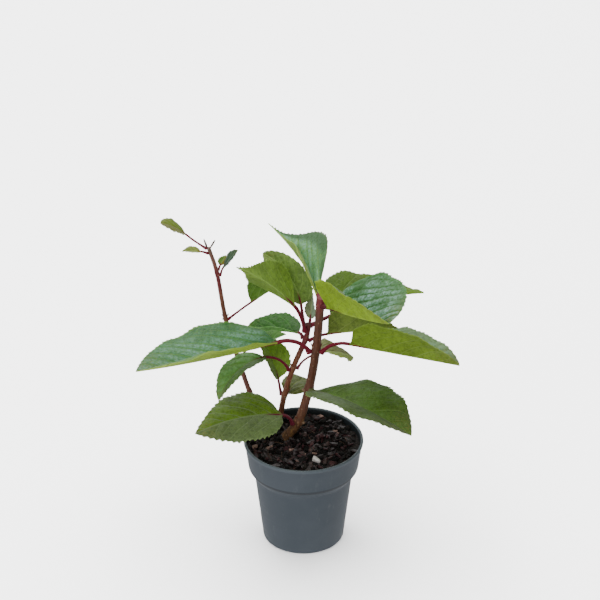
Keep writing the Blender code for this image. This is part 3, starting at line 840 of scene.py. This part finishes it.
SHEET = 0.34 * MM  # the blade's thickness at its middle
LEAF_GAP = 0.3 * MM  # between a stem and the leaf's stalk
STEM_CLEARANCE = 1.15  # room for the joint's swelling, in stem radii
STALK_LEAST = 0.6 * MM
STALK_SHARE = 0.009
STALK_BURIED = 1.3 * MM
STALK_STEP = 0.9 * MM
STALK_FLARE = 0.55
MIDRIB_STEPS = 481
BLADE_OPENING = 0.06  # the share of the blade over which it opens out of the stalk
BLADE_LEAST = 0.12 * MM
BOW = 0.05
RIPPLES = ((2.3, 1.0, 1.9), (4.7, 0.6, 2.7))  # waves along, share, and shift between the halves
RIPPLE_DEPTH = 0.035  # of the half width
TOOTH_PITCH = 3.8 * MM
TOOTH_DEPTH = 1.55 * MM
TOOTH_STEPS = 5
TOOTH_DROOP = 0.3
TOOTH_GROWTH = (0.55, 1.25)
TOOTH_WIDTH = 38.0 * MM
HALF_COLUMNS = 15
CREASE = 0.9 * MM
QUILT_DEPTH = 0.8 * MM
QUILT_START = 2.5 * MM  # from the rib
QUILT_WIDTH = 15.0 * MM  # narrower blades are quilted less
PUCKER_DEPTH = 0.18 * MM
STRAND_DEPTH = 0.12 * MM  # how far a side vein stands out underneath
RIB_LEAST = 0.2 * MM
VEIN_HOOK = 1.8
VEIN_PITCH = 17.0 * MM
VEIN_OFFSET = 0.35  # how far the right half's veins are out of step with the left's, in pitches
VEIN_SWAY = 0.12  # how unevenly they are spaced, in pitches
RIB_SHARE = 0.5  # the rib's radius to the stalk's
MAP_SCALE = 10.0  # of the UV map that holds metres along and across
# Painted sheen: the pale film on the upper side of bloomy leaves.
BLOOM_SHEEN = (0.3, 0.5, 0.46)
YELLOW_FLECK = (0.3, 0.32, 0.06)
OCHRE = (0.27, 0.19, 0.035)
CRIMSON = (0.16, 0.006, 0.02)
MAROON = (0.085, 0.008, 0.012)


def midrib(start, heading, swing, climb, stalk, blade, stations):
    """Points, directions and left-hand directions along a stalk and midrib.

    Heading turns evenly by swing from end to end. The climb above the horizontal runs from
    climb[0] at the stem to climb[1] where the blade begins and climb[2] at its tip.
    """
    length = stalk + blade
    fine = np.linspace(0.0, length, MIDRIB_STEPS)
    turn = np.radians(heading + swing * fine / length)
    rise = np.radians(np.interp(fine, (0.0, stalk, length), climb))
    way = np.stack([np.cos(rise) * np.cos(turn), np.cos(rise) * np.sin(turn), np.sin(rise)], axis=1)
    steps = 0.5 * (way[1:] + way[:-1]) * np.diff(fine)[:, None]
    path = start + np.vstack([np.zeros(3), np.cumsum(steps, axis=0)])
    left = np.stack([-np.sin(turn), np.cos(turn), np.zeros_like(turn)], axis=1)
    path, way, left = (np.stack([np.interp(stations, fine, rows[:, k]) for k in range(3)], axis=1)
                       for rows in (path, way, left))
    way = unit(way)
    return path + np.minimum(stations, 0.0)[:, None] * way[0], way, left


def half_width(share, shoulder, point):
    """Blade outline: share**shoulder * (1 - share)**point, scaled so that its widest is 1."""
    widest = shoulder / (shoulder + point)
    peak = widest ** shoulder * (1.0 - widest) ** point
    return share ** shoulder * (1.0 - share) ** point / peak


def smoothstep(value):
    """0 below 0, 1 above 1, and a smooth rise between."""
    value = np.clip(value, 0.0, 1.0)
    return value * value * (3.0 - 2.0 * value)


def vein_phase(along, aside, blade, slant, left_half):
    """Counts the side veins: whole numbers lie on a vein, which leans and hooks to the tip.

    The count is lean / pitch, where lean = along - slant * aside - hook * aside**2 / blade. A sine
    of the count makes the spacing uneven. Works on arrays and on a material's numbers alike.
    """
    lean = along - aside * slant - aside * aside * (VEIN_HOOK / blade)
    count = lean / vein_pitch(blade) + VEIN_OFFSET * (1.0 - left_half)
    turn = count * 2.6 + blade / MM
    return count + VEIN_SWAY * (turn.sin() if isinstance(turn, Number) else np.sin(turn))


def vein_pitch(blade):
    """Side veins are closer on small leaves, so that even those have four or five pairs."""
    return VEIN_PITCH * min(1.0, 0.3 + blade / (150.0 * MM))


def saw_edge(rng, teeth, share, stalk_steps, width):
    """How far each ring's left and right edge stands out.

    Each tooth grows outwards towards the tip over its steps and then drops back.
    """
    number, step = np.divmod(np.arange(len(share)), TOOTH_STEPS)
    growth = rng.uniform(*TOOTH_GROWTH, (2, teeth + 2))[:, number].T
    ends = smoothstep((share - 0.08) / 0.15) * smoothstep((1.0 - share) / 0.06)
    saw = growth * (step / (TOOTH_STEPS - 1) * ends)[:, None]
    return np.vstack([np.zeros((stalk_steps, 2)), saw]) * TOOTH_DEPTH * min(
        1.0, 0.35 + width / TOOTH_WIDTH)


def both_sides(upper):
    """Values across a leaf's upper side, and the same again on the way back below."""
    return np.concatenate([upper, upper[..., ::-1]], axis=-1)


def leaf_shell(stem, node, heading, climb, stalk, blade, width, fold, roll, swing, twist, opening,
               shoulder, point, lift, slant, quilt, seed):
    """Rings round a leaf: across its upper side from the left margin to the right, and back below.

    Returns the rings, the distance along from the blade's foot, the signed distance across (left
    is positive), the blade's share along and the share across, each with one value for each point.
    """
    rng = np.random.default_rng(seed)
    stalk_radius = STALK_LEAST + STALK_SHARE * blade
    centre = stem.axis_near(node, lift)
    outward = level(heading)
    leaning = np.dot(stem.axis_near(node, lift + stalk_radius) - centre, outward)
    start = centre + outward * (stem.radius(centre[2]) * STEM_CLEARANCE + LEAF_GAP
                                + max(0.0, leaning)
                                + stalk_radius * max(0.0, math.sin(math.radians(climb[0]))))

    teeth = max(8, round(blade / TOOTH_PITCH))
    blade_share = np.linspace(0.0, 1.0, teeth * TOOTH_STEPS + 1)
    stalk_steps = max(8, round((stalk + STALK_BURIED) / STALK_STEP))
    stalk_line = np.linspace(-STALK_BURIED, stalk, stalk_steps, endpoint=False)
    stations = np.concatenate([stalk_line, stalk + blade_share * blade])
    share = np.concatenate([np.zeros(stalk_steps), blade_share])[:, None]
    path, way, left = midrib(start, heading, swing, climb, stalk, blade, stations)
    up = np.cross(way, left)
    lean = np.radians(roll + twist * share)
    side_way = np.cos(lean) * left + np.sin(lean) * up
    face_way = np.cos(lean) * up - np.sin(lean) * left

    # Columns from the left margin to the right one, closer at the rib and at the margins.
    even = np.linspace(-1.0, 1.0, 2 * HALF_COLUMNS + 1)[None, :]
    off = 0.55 * np.abs(even) ** 1.7 + 0.45 * (1.0 - (1.0 - np.abs(even)) ** 1.4)
    hand = np.sign(even)
    across = hand * off
    columns = across.shape[1]
    shoulders = np.where(across < 0.0, *np.broadcast_to(shoulder, 2))
    half = np.maximum(width * half_width(share, shoulders, point), BLADE_LEAST)
    saw = saw_edge(rng, teeth, blade_share, stalk_steps, width)
    tooth = np.where(across < 0.0, saw[:, :1], saw[:, 1:]) * off ** 9
    aside = off * half + tooth

    # The blade's middle surface: two halves folded up along a rounded crease, bowed and wavy.
    angle = np.radians(fold + opening * share)
    bulge = BOW * half * np.sin(math.pi * off)
    crease = np.minimum(CREASE, 0.15 * half)
    rise = np.sqrt(aside * aside + crease * crease) - crease
    wave = sum(part * np.sin(2.0 * math.pi * waves * share + start_turn + shift * hand)
               for (waves, part, shift), start_turn
               in zip(RIPPLES, rng.uniform(0.0, 2.0 * math.pi, len(RIPPLES))))
    wave = RIPPLE_DEPTH * half * wave * off ** 2 * smoothstep(share / 0.2)
    side = -hand * (aside * np.cos(angle) - bulge * np.sin(angle))
    face = rise * np.sin(angle) + (bulge + wave) * np.cos(angle) - TOOTH_DROOP * tooth
    slope_side, slope_face = np.gradient(side, axis=1), np.gradient(face, axis=1)
    normal = np.stack([slope_face, -slope_side]) / (np.hypot(slope_side, slope_face) + 1e-12)

    # Quilting: the blade swells between the side veins and is drawn in along them and the rib.
    along = share * blade
    phase = vein_phase(along, aside, blade, slant, (across < 0.0).astype(float))
    between = np.abs(np.sin(math.pi * phase))
    fade = smoothstep(aside / QUILT_START) * (1.0 - 0.55 * off ** 4) * smoothstep(share / 0.1)
    fade = fade * np.minimum(1.0, half / QUILT_WIDTH)
    fine = rolling(along, aside * hand, waves=12, shortest=2.2 * MM, longest=7.0 * MM,
                   seed=seed + 7)
    relief = fade * (quilt * QUILT_DEPTH * (between ** 0.75 - 0.6) + PUCKER_DEPTH * fine)
    rib = RIB_LEAST + RIB_SHARE * stalk_radius * (1.0 - share) ** 1.2
    ridge = rib * bell(aside / rib)
    strand = STRAND_DEPTH * bell(between / 0.16) * fade * (1.0 - 0.6 * off)
    thickness = SHEET * (1.0 - 0.45 * off ** 4) + ridge + strand
    top = np.stack([side, face]) + (relief - 0.4 * ridge) * normal
    low = np.stack([side, face]) + (relief - thickness) * normal

    # The stalk: round with a shallow channel above, thicker where it leaves the stem.
    bend = math.pi * (0.5 - 0.5 * across * (1.0 - 0.5 / columns))
    from_stem = np.clip(stations, 0.0, 1.0)[:, None]
    girth = stalk_radius * (1.0 + STALK_FLARE * np.exp(-from_stem / (2.2 * MM)))
    channel = 1.0 - 0.3 * bell(across / 0.3)
    opened = smoothstep(share / BLADE_OPENING)
    round_side, round_face = -girth * np.cos(bend), girth * np.sin(bend)
    top = (1.0 - opened) * np.stack([round_side, round_face * channel]) + opened * top
    low = (1.0 - opened) * np.stack([round_side, -round_face]) + opened * low

    ring = np.concatenate([top, low[..., ::-1]], axis=-1)[..., None]
    rings = path[:, None] + ring[0] * side_way[:, None] + ring[1] * face_way[:, None]
    signed = both_sides(-hand * aside)
    from_foot, share, across = np.broadcast_arrays((stations - stalk)[:, None], share,
                                                   both_sides(across))
    return rings, from_foot, signed, share, across


def leaf_map(piece, name, first, second):
    """Puts two values for each point of the grid into a UV map."""
    grid = np.stack([first, second], axis=2).reshape(-1, 2)
    corner = np.zeros(len(piece.data.loops), np.int32)
    piece.data.loops.foreach_get("vertex_index", corner)
    layer = piece.data.uv_layers.new(name=name)
    layer.data.foreach_set("uv", grid[corner].astype(np.float32).ravel())


def shade(color, factor, lift=0.0):
    """The same hue, deeper or lighter."""
    return tuple(factor * part + lift for part in color)


def leaf_skin(name, blade, slant, left, right, veins, stalk_tone, crimson, bloom_sheen, margin, on_top):
    """One side of a leaf, in a tone for each half.

    Clouds and puckers deepen and lighten the tone. On a bloomy leaf a pale blue-grey film of
    painted sheen lies on the puckers between the side veins, where the swollen blade would catch
    the light, and thins out to the margin; painted shade darkens the grooves along the veins, more
    so on a bloomy leaf. The veins, a fine net between them and the margin are a little lighter,
    small yellow flecks are strewn about, the tip turns ochre in blotches, and crimson runs from the
    stalk up along the rib.
    """
    finish = Finish(name, {"Specular IOR Level": 0.34 if on_top else 0.22,
                           "Sheen Weight": 0.04 if on_top else 0.0,
                           "Sheen Roughness": 0.45,
                           "Sheen Tint": (0.75, 0.9, 0.85)})
    size = finish.node("ShaderNodeUVMap", {"uv_map": "leaf_size"}, {})
    shares = finish.node("ShaderNodeUVMap", {"uv_map": "leaf_share"}, {})
    along, signed = finish.part(size, "X") / MAP_SCALE, finish.part(size, "Y") / MAP_SCALE
    share, across = finish.part(shares, "X"), abs(finish.part(shares, "Y"))
    aside = abs(signed)
    left_half = signed.over(-0.5 * MM, 0.5 * MM)
    cloud = finish.noise(55.0, 4.0)
    pucker = finish.noise(420.0, 2.0)
    fleck = finish.noise(900.0)
    sway = finish.noise(45.0, 0.0)
    net = finish.node("ShaderNodeTexVoronoi", {"feature": "DISTANCE_TO_EDGE"},
                      {"Vector": size, "Scale": 38.0}).over(0.12, 0.0)

    phase = vein_phase(along, aside, blade, slant, left_half) + (sway - 0.5) * 0.5
    reach = abs((phase * math.pi).sin())  # 0 on a side vein and 1 half-way to the next
    # Painted sheen: a pale film on the swollen blade between the side veins, where it would catch
    # the light.
    sheen_film = reach.over(0.05, 0.8) * share.over(0.0, 0.1) * across.over(1.1, 0.6)
    sheen_film = sheen_film * cloud.over(0.3, 0.6) * (0.35 + 0.65 * pucker.over(0.38, 0.6)) * (1.0 - 0.7 * net)
    # Painted shade: darker along the side veins, where the quilted blade dips into grooves.
    groove_shade = reach.over(0.42, 0.05) * pucker.over(0.85, 0.3) * share.over(0.02, 0.1)
    vein = (reach * (vein_pitch(blade) / math.pi)).over(0.75 * MM, 0.25 * MM)
    vein = vein * share.over(0.02, 0.1) * across.over(1.0, 0.7)
    rib_width = 0.3 * MM + RIB_SHARE * (STALK_LEAST + STALK_SHARE * blade) * (1.0 - share)
    rib = (aside / rib_width).over(1.3, 0.7)
    stalk = (along + fleck * (2.0 * MM)).over(4.0 * MM, -3.0 * MM)
    flush = share.over(crimson, 0.4 * crimson) * rib
    halo = share.over(0.4 * crimson, 0.0) * (aside / rib_width).over(3.5, 0.5) * 0.4

    deep = finish.mix(left_half, shade(right, 0.5), shade(left, 0.5))
    light = finish.mix(left_half, shade(right, 1.4), shade(left, 1.4))
    color = finish.layers(right, (left_half, left),
                          (cloud.over(0.5, 0.32) * 0.55, deep),
                          (cloud.over(0.5, 0.68) * 0.55, light),
                          (pucker.over(0.5, 0.36) * 0.45, deep),
                          (pucker.over(0.52, 0.66) * 0.25, light),
                          (sheen_film * bloom_sheen, BLOOM_SHEEN),
                          (groove_shade * (0.2 + bloom_sheen), deep),
                          (vein * (0.6 - 0.5 * bloom_sheen), veins),
                          (net * 0.2, veins),
                          (fleck.over(0.62, 0.72) * 0.3, YELLOW_FLECK),
                          (share.over(0.68, 0.98) * fleck.over(0.45, 0.62) * 0.4, OCHRE),
                          (across.over(0.94, 0.98) * 0.6, veins),
                          (rib * 0.8, veins),
                          (stalk.most(flush).most(halo), stalk_tone))
    if margin:
        band = across.over(0.5, 0.78) * share.over(0.02, 0.08) * cloud.over(0.15, 0.5)
        color = finish.mix(band * (1.0 - left_half) * 0.9, color, margin)

    height = pucker * 1.2 + fleck * 0.25
    height = height - vein * 0.35 - net * 0.2 if on_top else height * 0.6 + vein * 0.5 + net * 0.3
    return finish.done(color, (0.46 if on_top else 0.6) + 0.1 * cloud + 0.06 * vein, height,
                       strength=0.8, distance=0.6 * MM)


leaf_seeds = itertools.count(101)


def grow_leaf(name, stem, node, heading, climb, stalk, blade, width, fold, roll, swing=0.0,
              twist=0.0, opening=0.0, shoulder=0.62, point=1.0, lift=0.0, slant=1.0, quilt=0.8,
              left=(0.08, 0.17, 0.03), right=None, under_left=(0.16, 0.26, 0.025), under_right=None,
              stalk_tone=CRIMSON, crimson=0.25, bloom_sheen=0.0, margin=None):
    """One leaf in place of its node. Lengths are in millimetres and angles in degrees.

    left and right are the tones of the upper side's halves, under_left and under_right those
    below, which are a bright yellow-green: the underside's own paler colour with painted light
    shining through the blade. A right half's tone that isn't given is the left one's, and the veins
    are a paler shade of their side. bloom is the share on the upper side of the pale film of
    painted sheen, which also deepens the painted shade in the grooves, and margin a tone that its
    right half takes on at the edge. slant is how far the side veins lean to the tip, and quilt how
    much the blade swells between them.
    """
    rings, along, signed, share, across = leaf_shell(
        stem, node, heading, climb, stalk * MM, blade * MM, width * MM, fold, roll, swing, twist,
        opening, shoulder, point, lift * MM, slant, quilt, next(leaf_seeds))
    upper = leaf_skin(name + "_upper", blade * MM, slant, left, right or left,
                      shade(left, 1.45, 0.04), stalk_tone, crimson, bloom_sheen, margin, True)
    # The tones below are the underside's own paler yellow-green brightened with painted light
    # shining through the blade.
    under = leaf_skin(name + "_under", blade * MM, slant, under_left, under_right or under_left,
                      shade(under_left, 1.45, 0.04), stalk_tone, crimson, 0.0, None, False)
    piece = tube(name + "_blade", rings, upper, under)
    rows, sides = share.shape
    below = np.tile(np.arange(sides) >= sides // 2 - 1, rows - 1)
    skin = np.concatenate([below, [False, False]]).astype(np.int32)
    piece.data.polygons.foreach_set("material_index", skin)
    leaf_map(piece, "leaf_size", MAP_SCALE * along, MAP_SCALE * signed)
    leaf_map(piece, "leaf_share", share, across)
    smooth(piece, sharp_above=80.0)
    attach(piece, "root")
    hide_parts(name)


# The main stem: two single leaves low down, then two opposite pairs.
grow_leaf("leaf_low_left", stem_main, 1, heading=210, swing=-13, climb=(75, 22, -21), stalk=13.5,
          blade=73, width=24, fold=10, roll=-14, twist=-3, opening=-21, shoulder=0.69,
          left=(0.098, 0.148, 0.04), right=(0.09, 0.17, 0.004), stalk_tone=(0.12, 0.008, 0.02))
grow_leaf("leaf_low_right", stem_main, 2, heading=299, swing=32, climb=(0, 29, -22), stalk=2,
          blade=106.5, width=32, fold=13, roll=-4, twist=-12, opening=3, shoulder=0.97, point=0.8,
          left=(0.061, 0.135, 0.003), right=(0.073, 0.118, 0.02), bloom_sheen=0.06, quilt=0.6,
          stalk_tone=(0.1, 0.11, 0.04))
grow_leaf("leaf_long_left", stem_main, 3, heading=194, swing=22, climb=(61, -6, 13), stalk=28,
          blade=119, width=36, fold=31, roll=14, twist=3, opening=-13, shoulder=(1.15, 0.65),
          point=0.93, left=(0.085, 0.22, 0.0), right=(0.024, 0.146, 0.024),
          under_left=(0.34, 0.5, 0.05), bloom_sheen=0.42, slant=1.3, quilt=0.45)
grow_leaf("leaf_long_right", stem_main, 3, heading=333, swing=13, climb=(57, 2, -4), stalk=27,
          blade=86, width=28, fold=41, roll=-36, twist=15, opening=4, shoulder=0.44, point=0.7,
          left=(0.115, 0.21, 0.06), bloom_sheen=0.3, under_left=(0.17, 0.27, 0.02),
          under_right=(0.17, 0.27, 0.02))
grow_leaf("leaf_top_front", stem_main, 4, heading=304, swing=-16, climb=(16, 16, 28), stalk=6,
          blade=107, width=40, fold=53, roll=-9, opening=-15, shoulder=(0.56, 0.5), point=0.7,
          lift=1, left=(0.024, 0.135, 0.004), right=(0.13, 0.19, 0.01),
          under_left=(0.24, 0.36, 0.015), under_right=(0.26, 0.41, 0.015), bloom_sheen=0.8, slant=1.65,
          quilt=1.8, stalk_tone=MAROON)
grow_leaf("leaf_top_back", stem_main, 4, heading=102, swing=21, climb=(87, 9, 5.5), stalk=5,
          blade=97, width=33.5, fold=70, roll=-3, twist=15, opening=-9, shoulder=(0.7, 1.15),
          point=2.7, left=(0.34, 0.46, 0.05), right=(0.18, 0.45, 0.18),
          under_left=(0.27, 0.45, 0.06), under_right=(0.16, 0.26, 0.05), bloom_sheen=0.72, slant=1.3,
          margin=(0.05, 0.12, 0.04))

# The second stem: pairs at three nodes and four leaves round the tip.
grow_leaf("leaf_inner_upright", stem_second, 1, heading=135, swing=-19, climb=(75, 74, 27),
          stalk=11.5, blade=39, width=14.5, fold=30, roll=18, twist=-3, opening=-9,
          left=(0.16, 0.28, 0.015), right=(0.2, 0.36, 0.03))
grow_leaf("leaf_inner_low", stem_second, 1, heading=59, swing=-28, climb=(0, 39, -46), stalk=1.5,
          blade=31, width=12, fold=2, roll=-2, twist=4, opening=-5, shoulder=(0.9, 0.5), lift=-2,
          left=(0.092, 0.122, 0.008), right=(0.083, 0.11, 0.01))
grow_leaf("leaf_drooping_left", stem_second, 2, heading=206, swing=19, climb=(67, 14, -65),
          stalk=27, blade=54, width=13.5, fold=12, roll=7, twist=8, opening=9, point=0.83,
          left=(0.065, 0.15, 0.004), right=(0.11, 0.27, 0.05), under_left=(0.16, 0.26, 0.04),
          bloom_sheen=0.15)
grow_leaf("leaf_small_right", stem_second, 2, heading=13, swing=-5, climb=(62, 19, -37), stalk=15,
          blade=34, width=20.5, fold=25, roll=-19, twist=11, opening=-34, shoulder=0.54, point=0.8,
          left=(0.19, 0.2, 0.04), right=(0.29, 0.4, 0.02))
grow_leaf("leaf_middle_left", stem_second, 3, heading=135, swing=29, climb=(75, -12, -30),
          stalk=4.5, blade=56, width=16.5, fold=29, roll=8, twist=-9, opening=14, shoulder=0.58,
          point=0.7, left=(0.04, 0.17, 0.005), right=(0.022, 0.115, 0.004),
          under_left=(0.2, 0.5, 0.12), quilt=0.35)
grow_leaf("leaf_middle_right", stem_second, 3, heading=357, swing=-3, climb=(36, 13, -5), stalk=14,
          blade=58, width=21, fold=55, roll=-43, shoulder=0.52, point=1.12, lift=-1,
          left=(0.08, 0.16, 0.02), under_left=(0.15, 0.215, 0.03), under_right=(0.147, 0.214, 0.03))
grow_leaf("leaf_front_left", stem_second, 4, heading=230, swing=-5, climb=(80, 52, 36), stalk=30,
          blade=85, width=25.5, fold=62, roll=58, twist=26, opening=-6, point=1.8, lift=-1.5,
          left=(0.09, 0.17, 0.02), under_left=(0.172, 0.294, 0.033),
          under_right=(0.195, 0.31, 0.033))
grow_leaf("leaf_upper_left", stem_second, 4, heading=142, swing=11, climb=(80, 79, 15), stalk=16.5,
          blade=51.5, width=13.5, fold=33, roll=-31, twist=-12, shoulder=(0.75, 0.47), point=0.75,
          left=(0.15, 0.25, 0.035), right=(0.13, 0.23, 0.03), under_left=(0.13, 0.23, 0.02))
grow_leaf("leaf_upper_right", stem_second, 4, heading=36, climb=(8, 4, -18), stalk=18.5, blade=91,
          width=31, fold=41, roll=-5, twist=-8, opening=-12, shoulder=0.4,
          left=(0.085, 0.17, 0.003), under_left=(0.17, 0.3, 0.02), under_right=(0.2, 0.4, 0.005))
grow_leaf("leaf_top_hidden", stem_second, 4, heading=70, swing=-60, climb=(66, 78, 88), stalk=2,
          blade=22, width=5.5, fold=12, roll=0, lift=2.4, left=(0.19, 0.24, 0.1),
          right=(0.22, 0.31, 0.18), bloom_sheen=0.1)

# The third stem: a few small leaves on a bare shoot.
grow_leaf("leaf_hidden_small", stem_third, 2, heading=348, swing=3, climb=(75, 29, 25), stalk=15.5,
          blade=28, width=8.5, fold=25, roll=7, left=(0.1, 0.255, 0.05),
          stalk_tone=(0.07, 0.028, 0.028))
grow_leaf("leaf_behind_left", stem_third, 3, heading=2, swing=-3, climb=(41, 39, 32), stalk=21.5,
          blade=27, width=16, fold=58, roll=-44, shoulder=0.8, left=(0.08, 0.16, 0.02),
          under_left=(0.09, 0.18, 0.02), under_right=(0.075, 0.165, 0.014))
grow_leaf("leaf_tip_dark", stem_third, 4, heading=332, swing=17, climb=(75, 63, 48), stalk=7.5,
          blade=20, width=6.5, fold=13, roll=16, twist=7, opening=-10, left=(0.02, 0.06, 0.015),
          right=(0.01, 0.05, 0.01), under_left=(0.1, 0.13, 0.06))
grow_leaf("leaf_tip_pale", stem_third, 4, heading=50, climb=(60, 50, 30), stalk=3, blade=9,
          width=3.5, fold=15, roll=0, lift=2.5, left=(0.07, 0.15, 0.003),
          right=(0.13, 0.105, 0.003))
grow_leaf("leaf_tip_long", stem_third, 5, heading=181, swing=13, climb=(36, 45, 18), stalk=19,
          blade=22, width=9.5, fold=8, roll=4, twist=-8, shoulder=0.72, point=0.7,
          left=(0.11, 0.12, 0.005), right=(0.115, 0.175, 0.004))
grow_leaf("leaf_tip_narrow", stem_third, 5, heading=200, climb=(30, 20, 5), stalk=5, blade=15,
          width=4.5, fold=21, roll=-5, lift=-4, left=(0.2, 0.26, 0.04), right=(0.22, 0.28, 0.045))


# ---------------------------------------------------------------- floor, lamps and camera
# A plain pale floor under broad, soft studio light, seen from the front and a little above.

FLOOR_HALF = 12.0
FLOOR_DROP = 0.1 * MM  # below the pot's underside
CAMERA_TARGET = (-2.65 * MM, 0.0, 208.5 * MM)
CAMERA_CLIMB = math.radians(30.7)
CAMERA_DISTANCE = 2.5
CAMERA_LENS = 201.6
FLOOR_GLOW = 1.1
SKY_GLOW = 0.4

floor_finish = Finish("pale_floor", {"Base Color": (0.92, 0.92, 0.92), "Roughness": 1.0,
                                     "Specular IOR Level": 0.0})
corners = [(x * FLOOR_HALF, y * FLOOR_HALF, -FLOOR_DROP)
           for x, y in ((-1, -1), (1, -1), (1, 1), (-1, 1))]
floor = new_piece("floor", corners, [(0, 1, 2, 3)], floor_finish.material)
floor.visible_diffuse = False
floor.visible_glossy = False

# The lower half of the world stands for the light that a white floor throws back up.
world = bpy.data.worlds.new("studio")
bpy.context.scene.world = world
world.use_nodes = True
studio = world.node_tree
direction = studio.nodes.new("ShaderNodeTexCoord")
axes = studio.nodes.new("ShaderNodeSeparateXYZ")
strength = studio.nodes.new("ShaderNodeMapRange")
for socket, number in {"From Min": -0.25, "From Max": 0.1,
                       "To Min": FLOOR_GLOW, "To Max": SKY_GLOW}.items():
    strength.inputs[socket].default_value = number
studio.links.new(direction.outputs["Generated"], axes.inputs[0])
studio.links.new(axes.outputs["Z"], strength.inputs["Value"])
studio.links.new(strength.outputs["Result"], studio.nodes["Background"].inputs["Strength"])
studio.nodes["Background"].inputs["Color"].default_value = (0.96, 0.98, 1.0, 1.0)


def soft_lamp(name, spot, target, size, power, only=None):
    """A square area lamp that faces a point, and may light one object alone."""
    light = bpy.data.lights.new(name, "AREA")
    light.size = size
    light.energy = power
    lamp = bpy.data.objects.new(name, light)
    lamp.location = spot
    x, y, z = np.subtract(target, spot)
    lamp.rotation_euler = (math.atan2(math.hypot(x, y), -z), 0.0, math.atan2(-x, y))
    bpy.context.scene.collection.objects.link(lamp)
    if only is not None:
        lit = bpy.data.collections.new(name + "_lights")
        lit.objects.link(only)
        lamp.light_linking.receiver_collection = lit


plant_middle = (0.0, 0.0, 0.15)
soft_lamp("overhead", (-0.2, 0.1, 1.5), plant_middle, size=1.2, power=14.0)
soft_lamp("back_panel", (-0.3, 1.5, 1.3), plant_middle, size=1.8, power=20.0)
soft_lamp("front_fill", (-0.7, -1.5, 1.1), plant_middle, size=1.4, power=20.0)
soft_lamp("floor_wash", (0.0, 1.2, 5.0), (0.0, 1.2, 0.0), size=7.0, power=1600.0, only=floor)

camera_data = bpy.data.cameras.new("camera")
camera_data.lens = CAMERA_LENS
camera_data.clip_end = 100.0
camera = bpy.data.objects.new("camera", camera_data)
camera.location = (CAMERA_TARGET[0], CAMERA_TARGET[1] - CAMERA_DISTANCE * math.cos(CAMERA_CLIMB),
                   CAMERA_TARGET[2] + CAMERA_DISTANCE * math.sin(CAMERA_CLIMB))
camera.rotation_euler = (math.radians(90.0) - CAMERA_CLIMB, 0.0, 0.0)
bpy.context.scene.collection.objects.link(camera)
bpy.context.scene.camera = camera
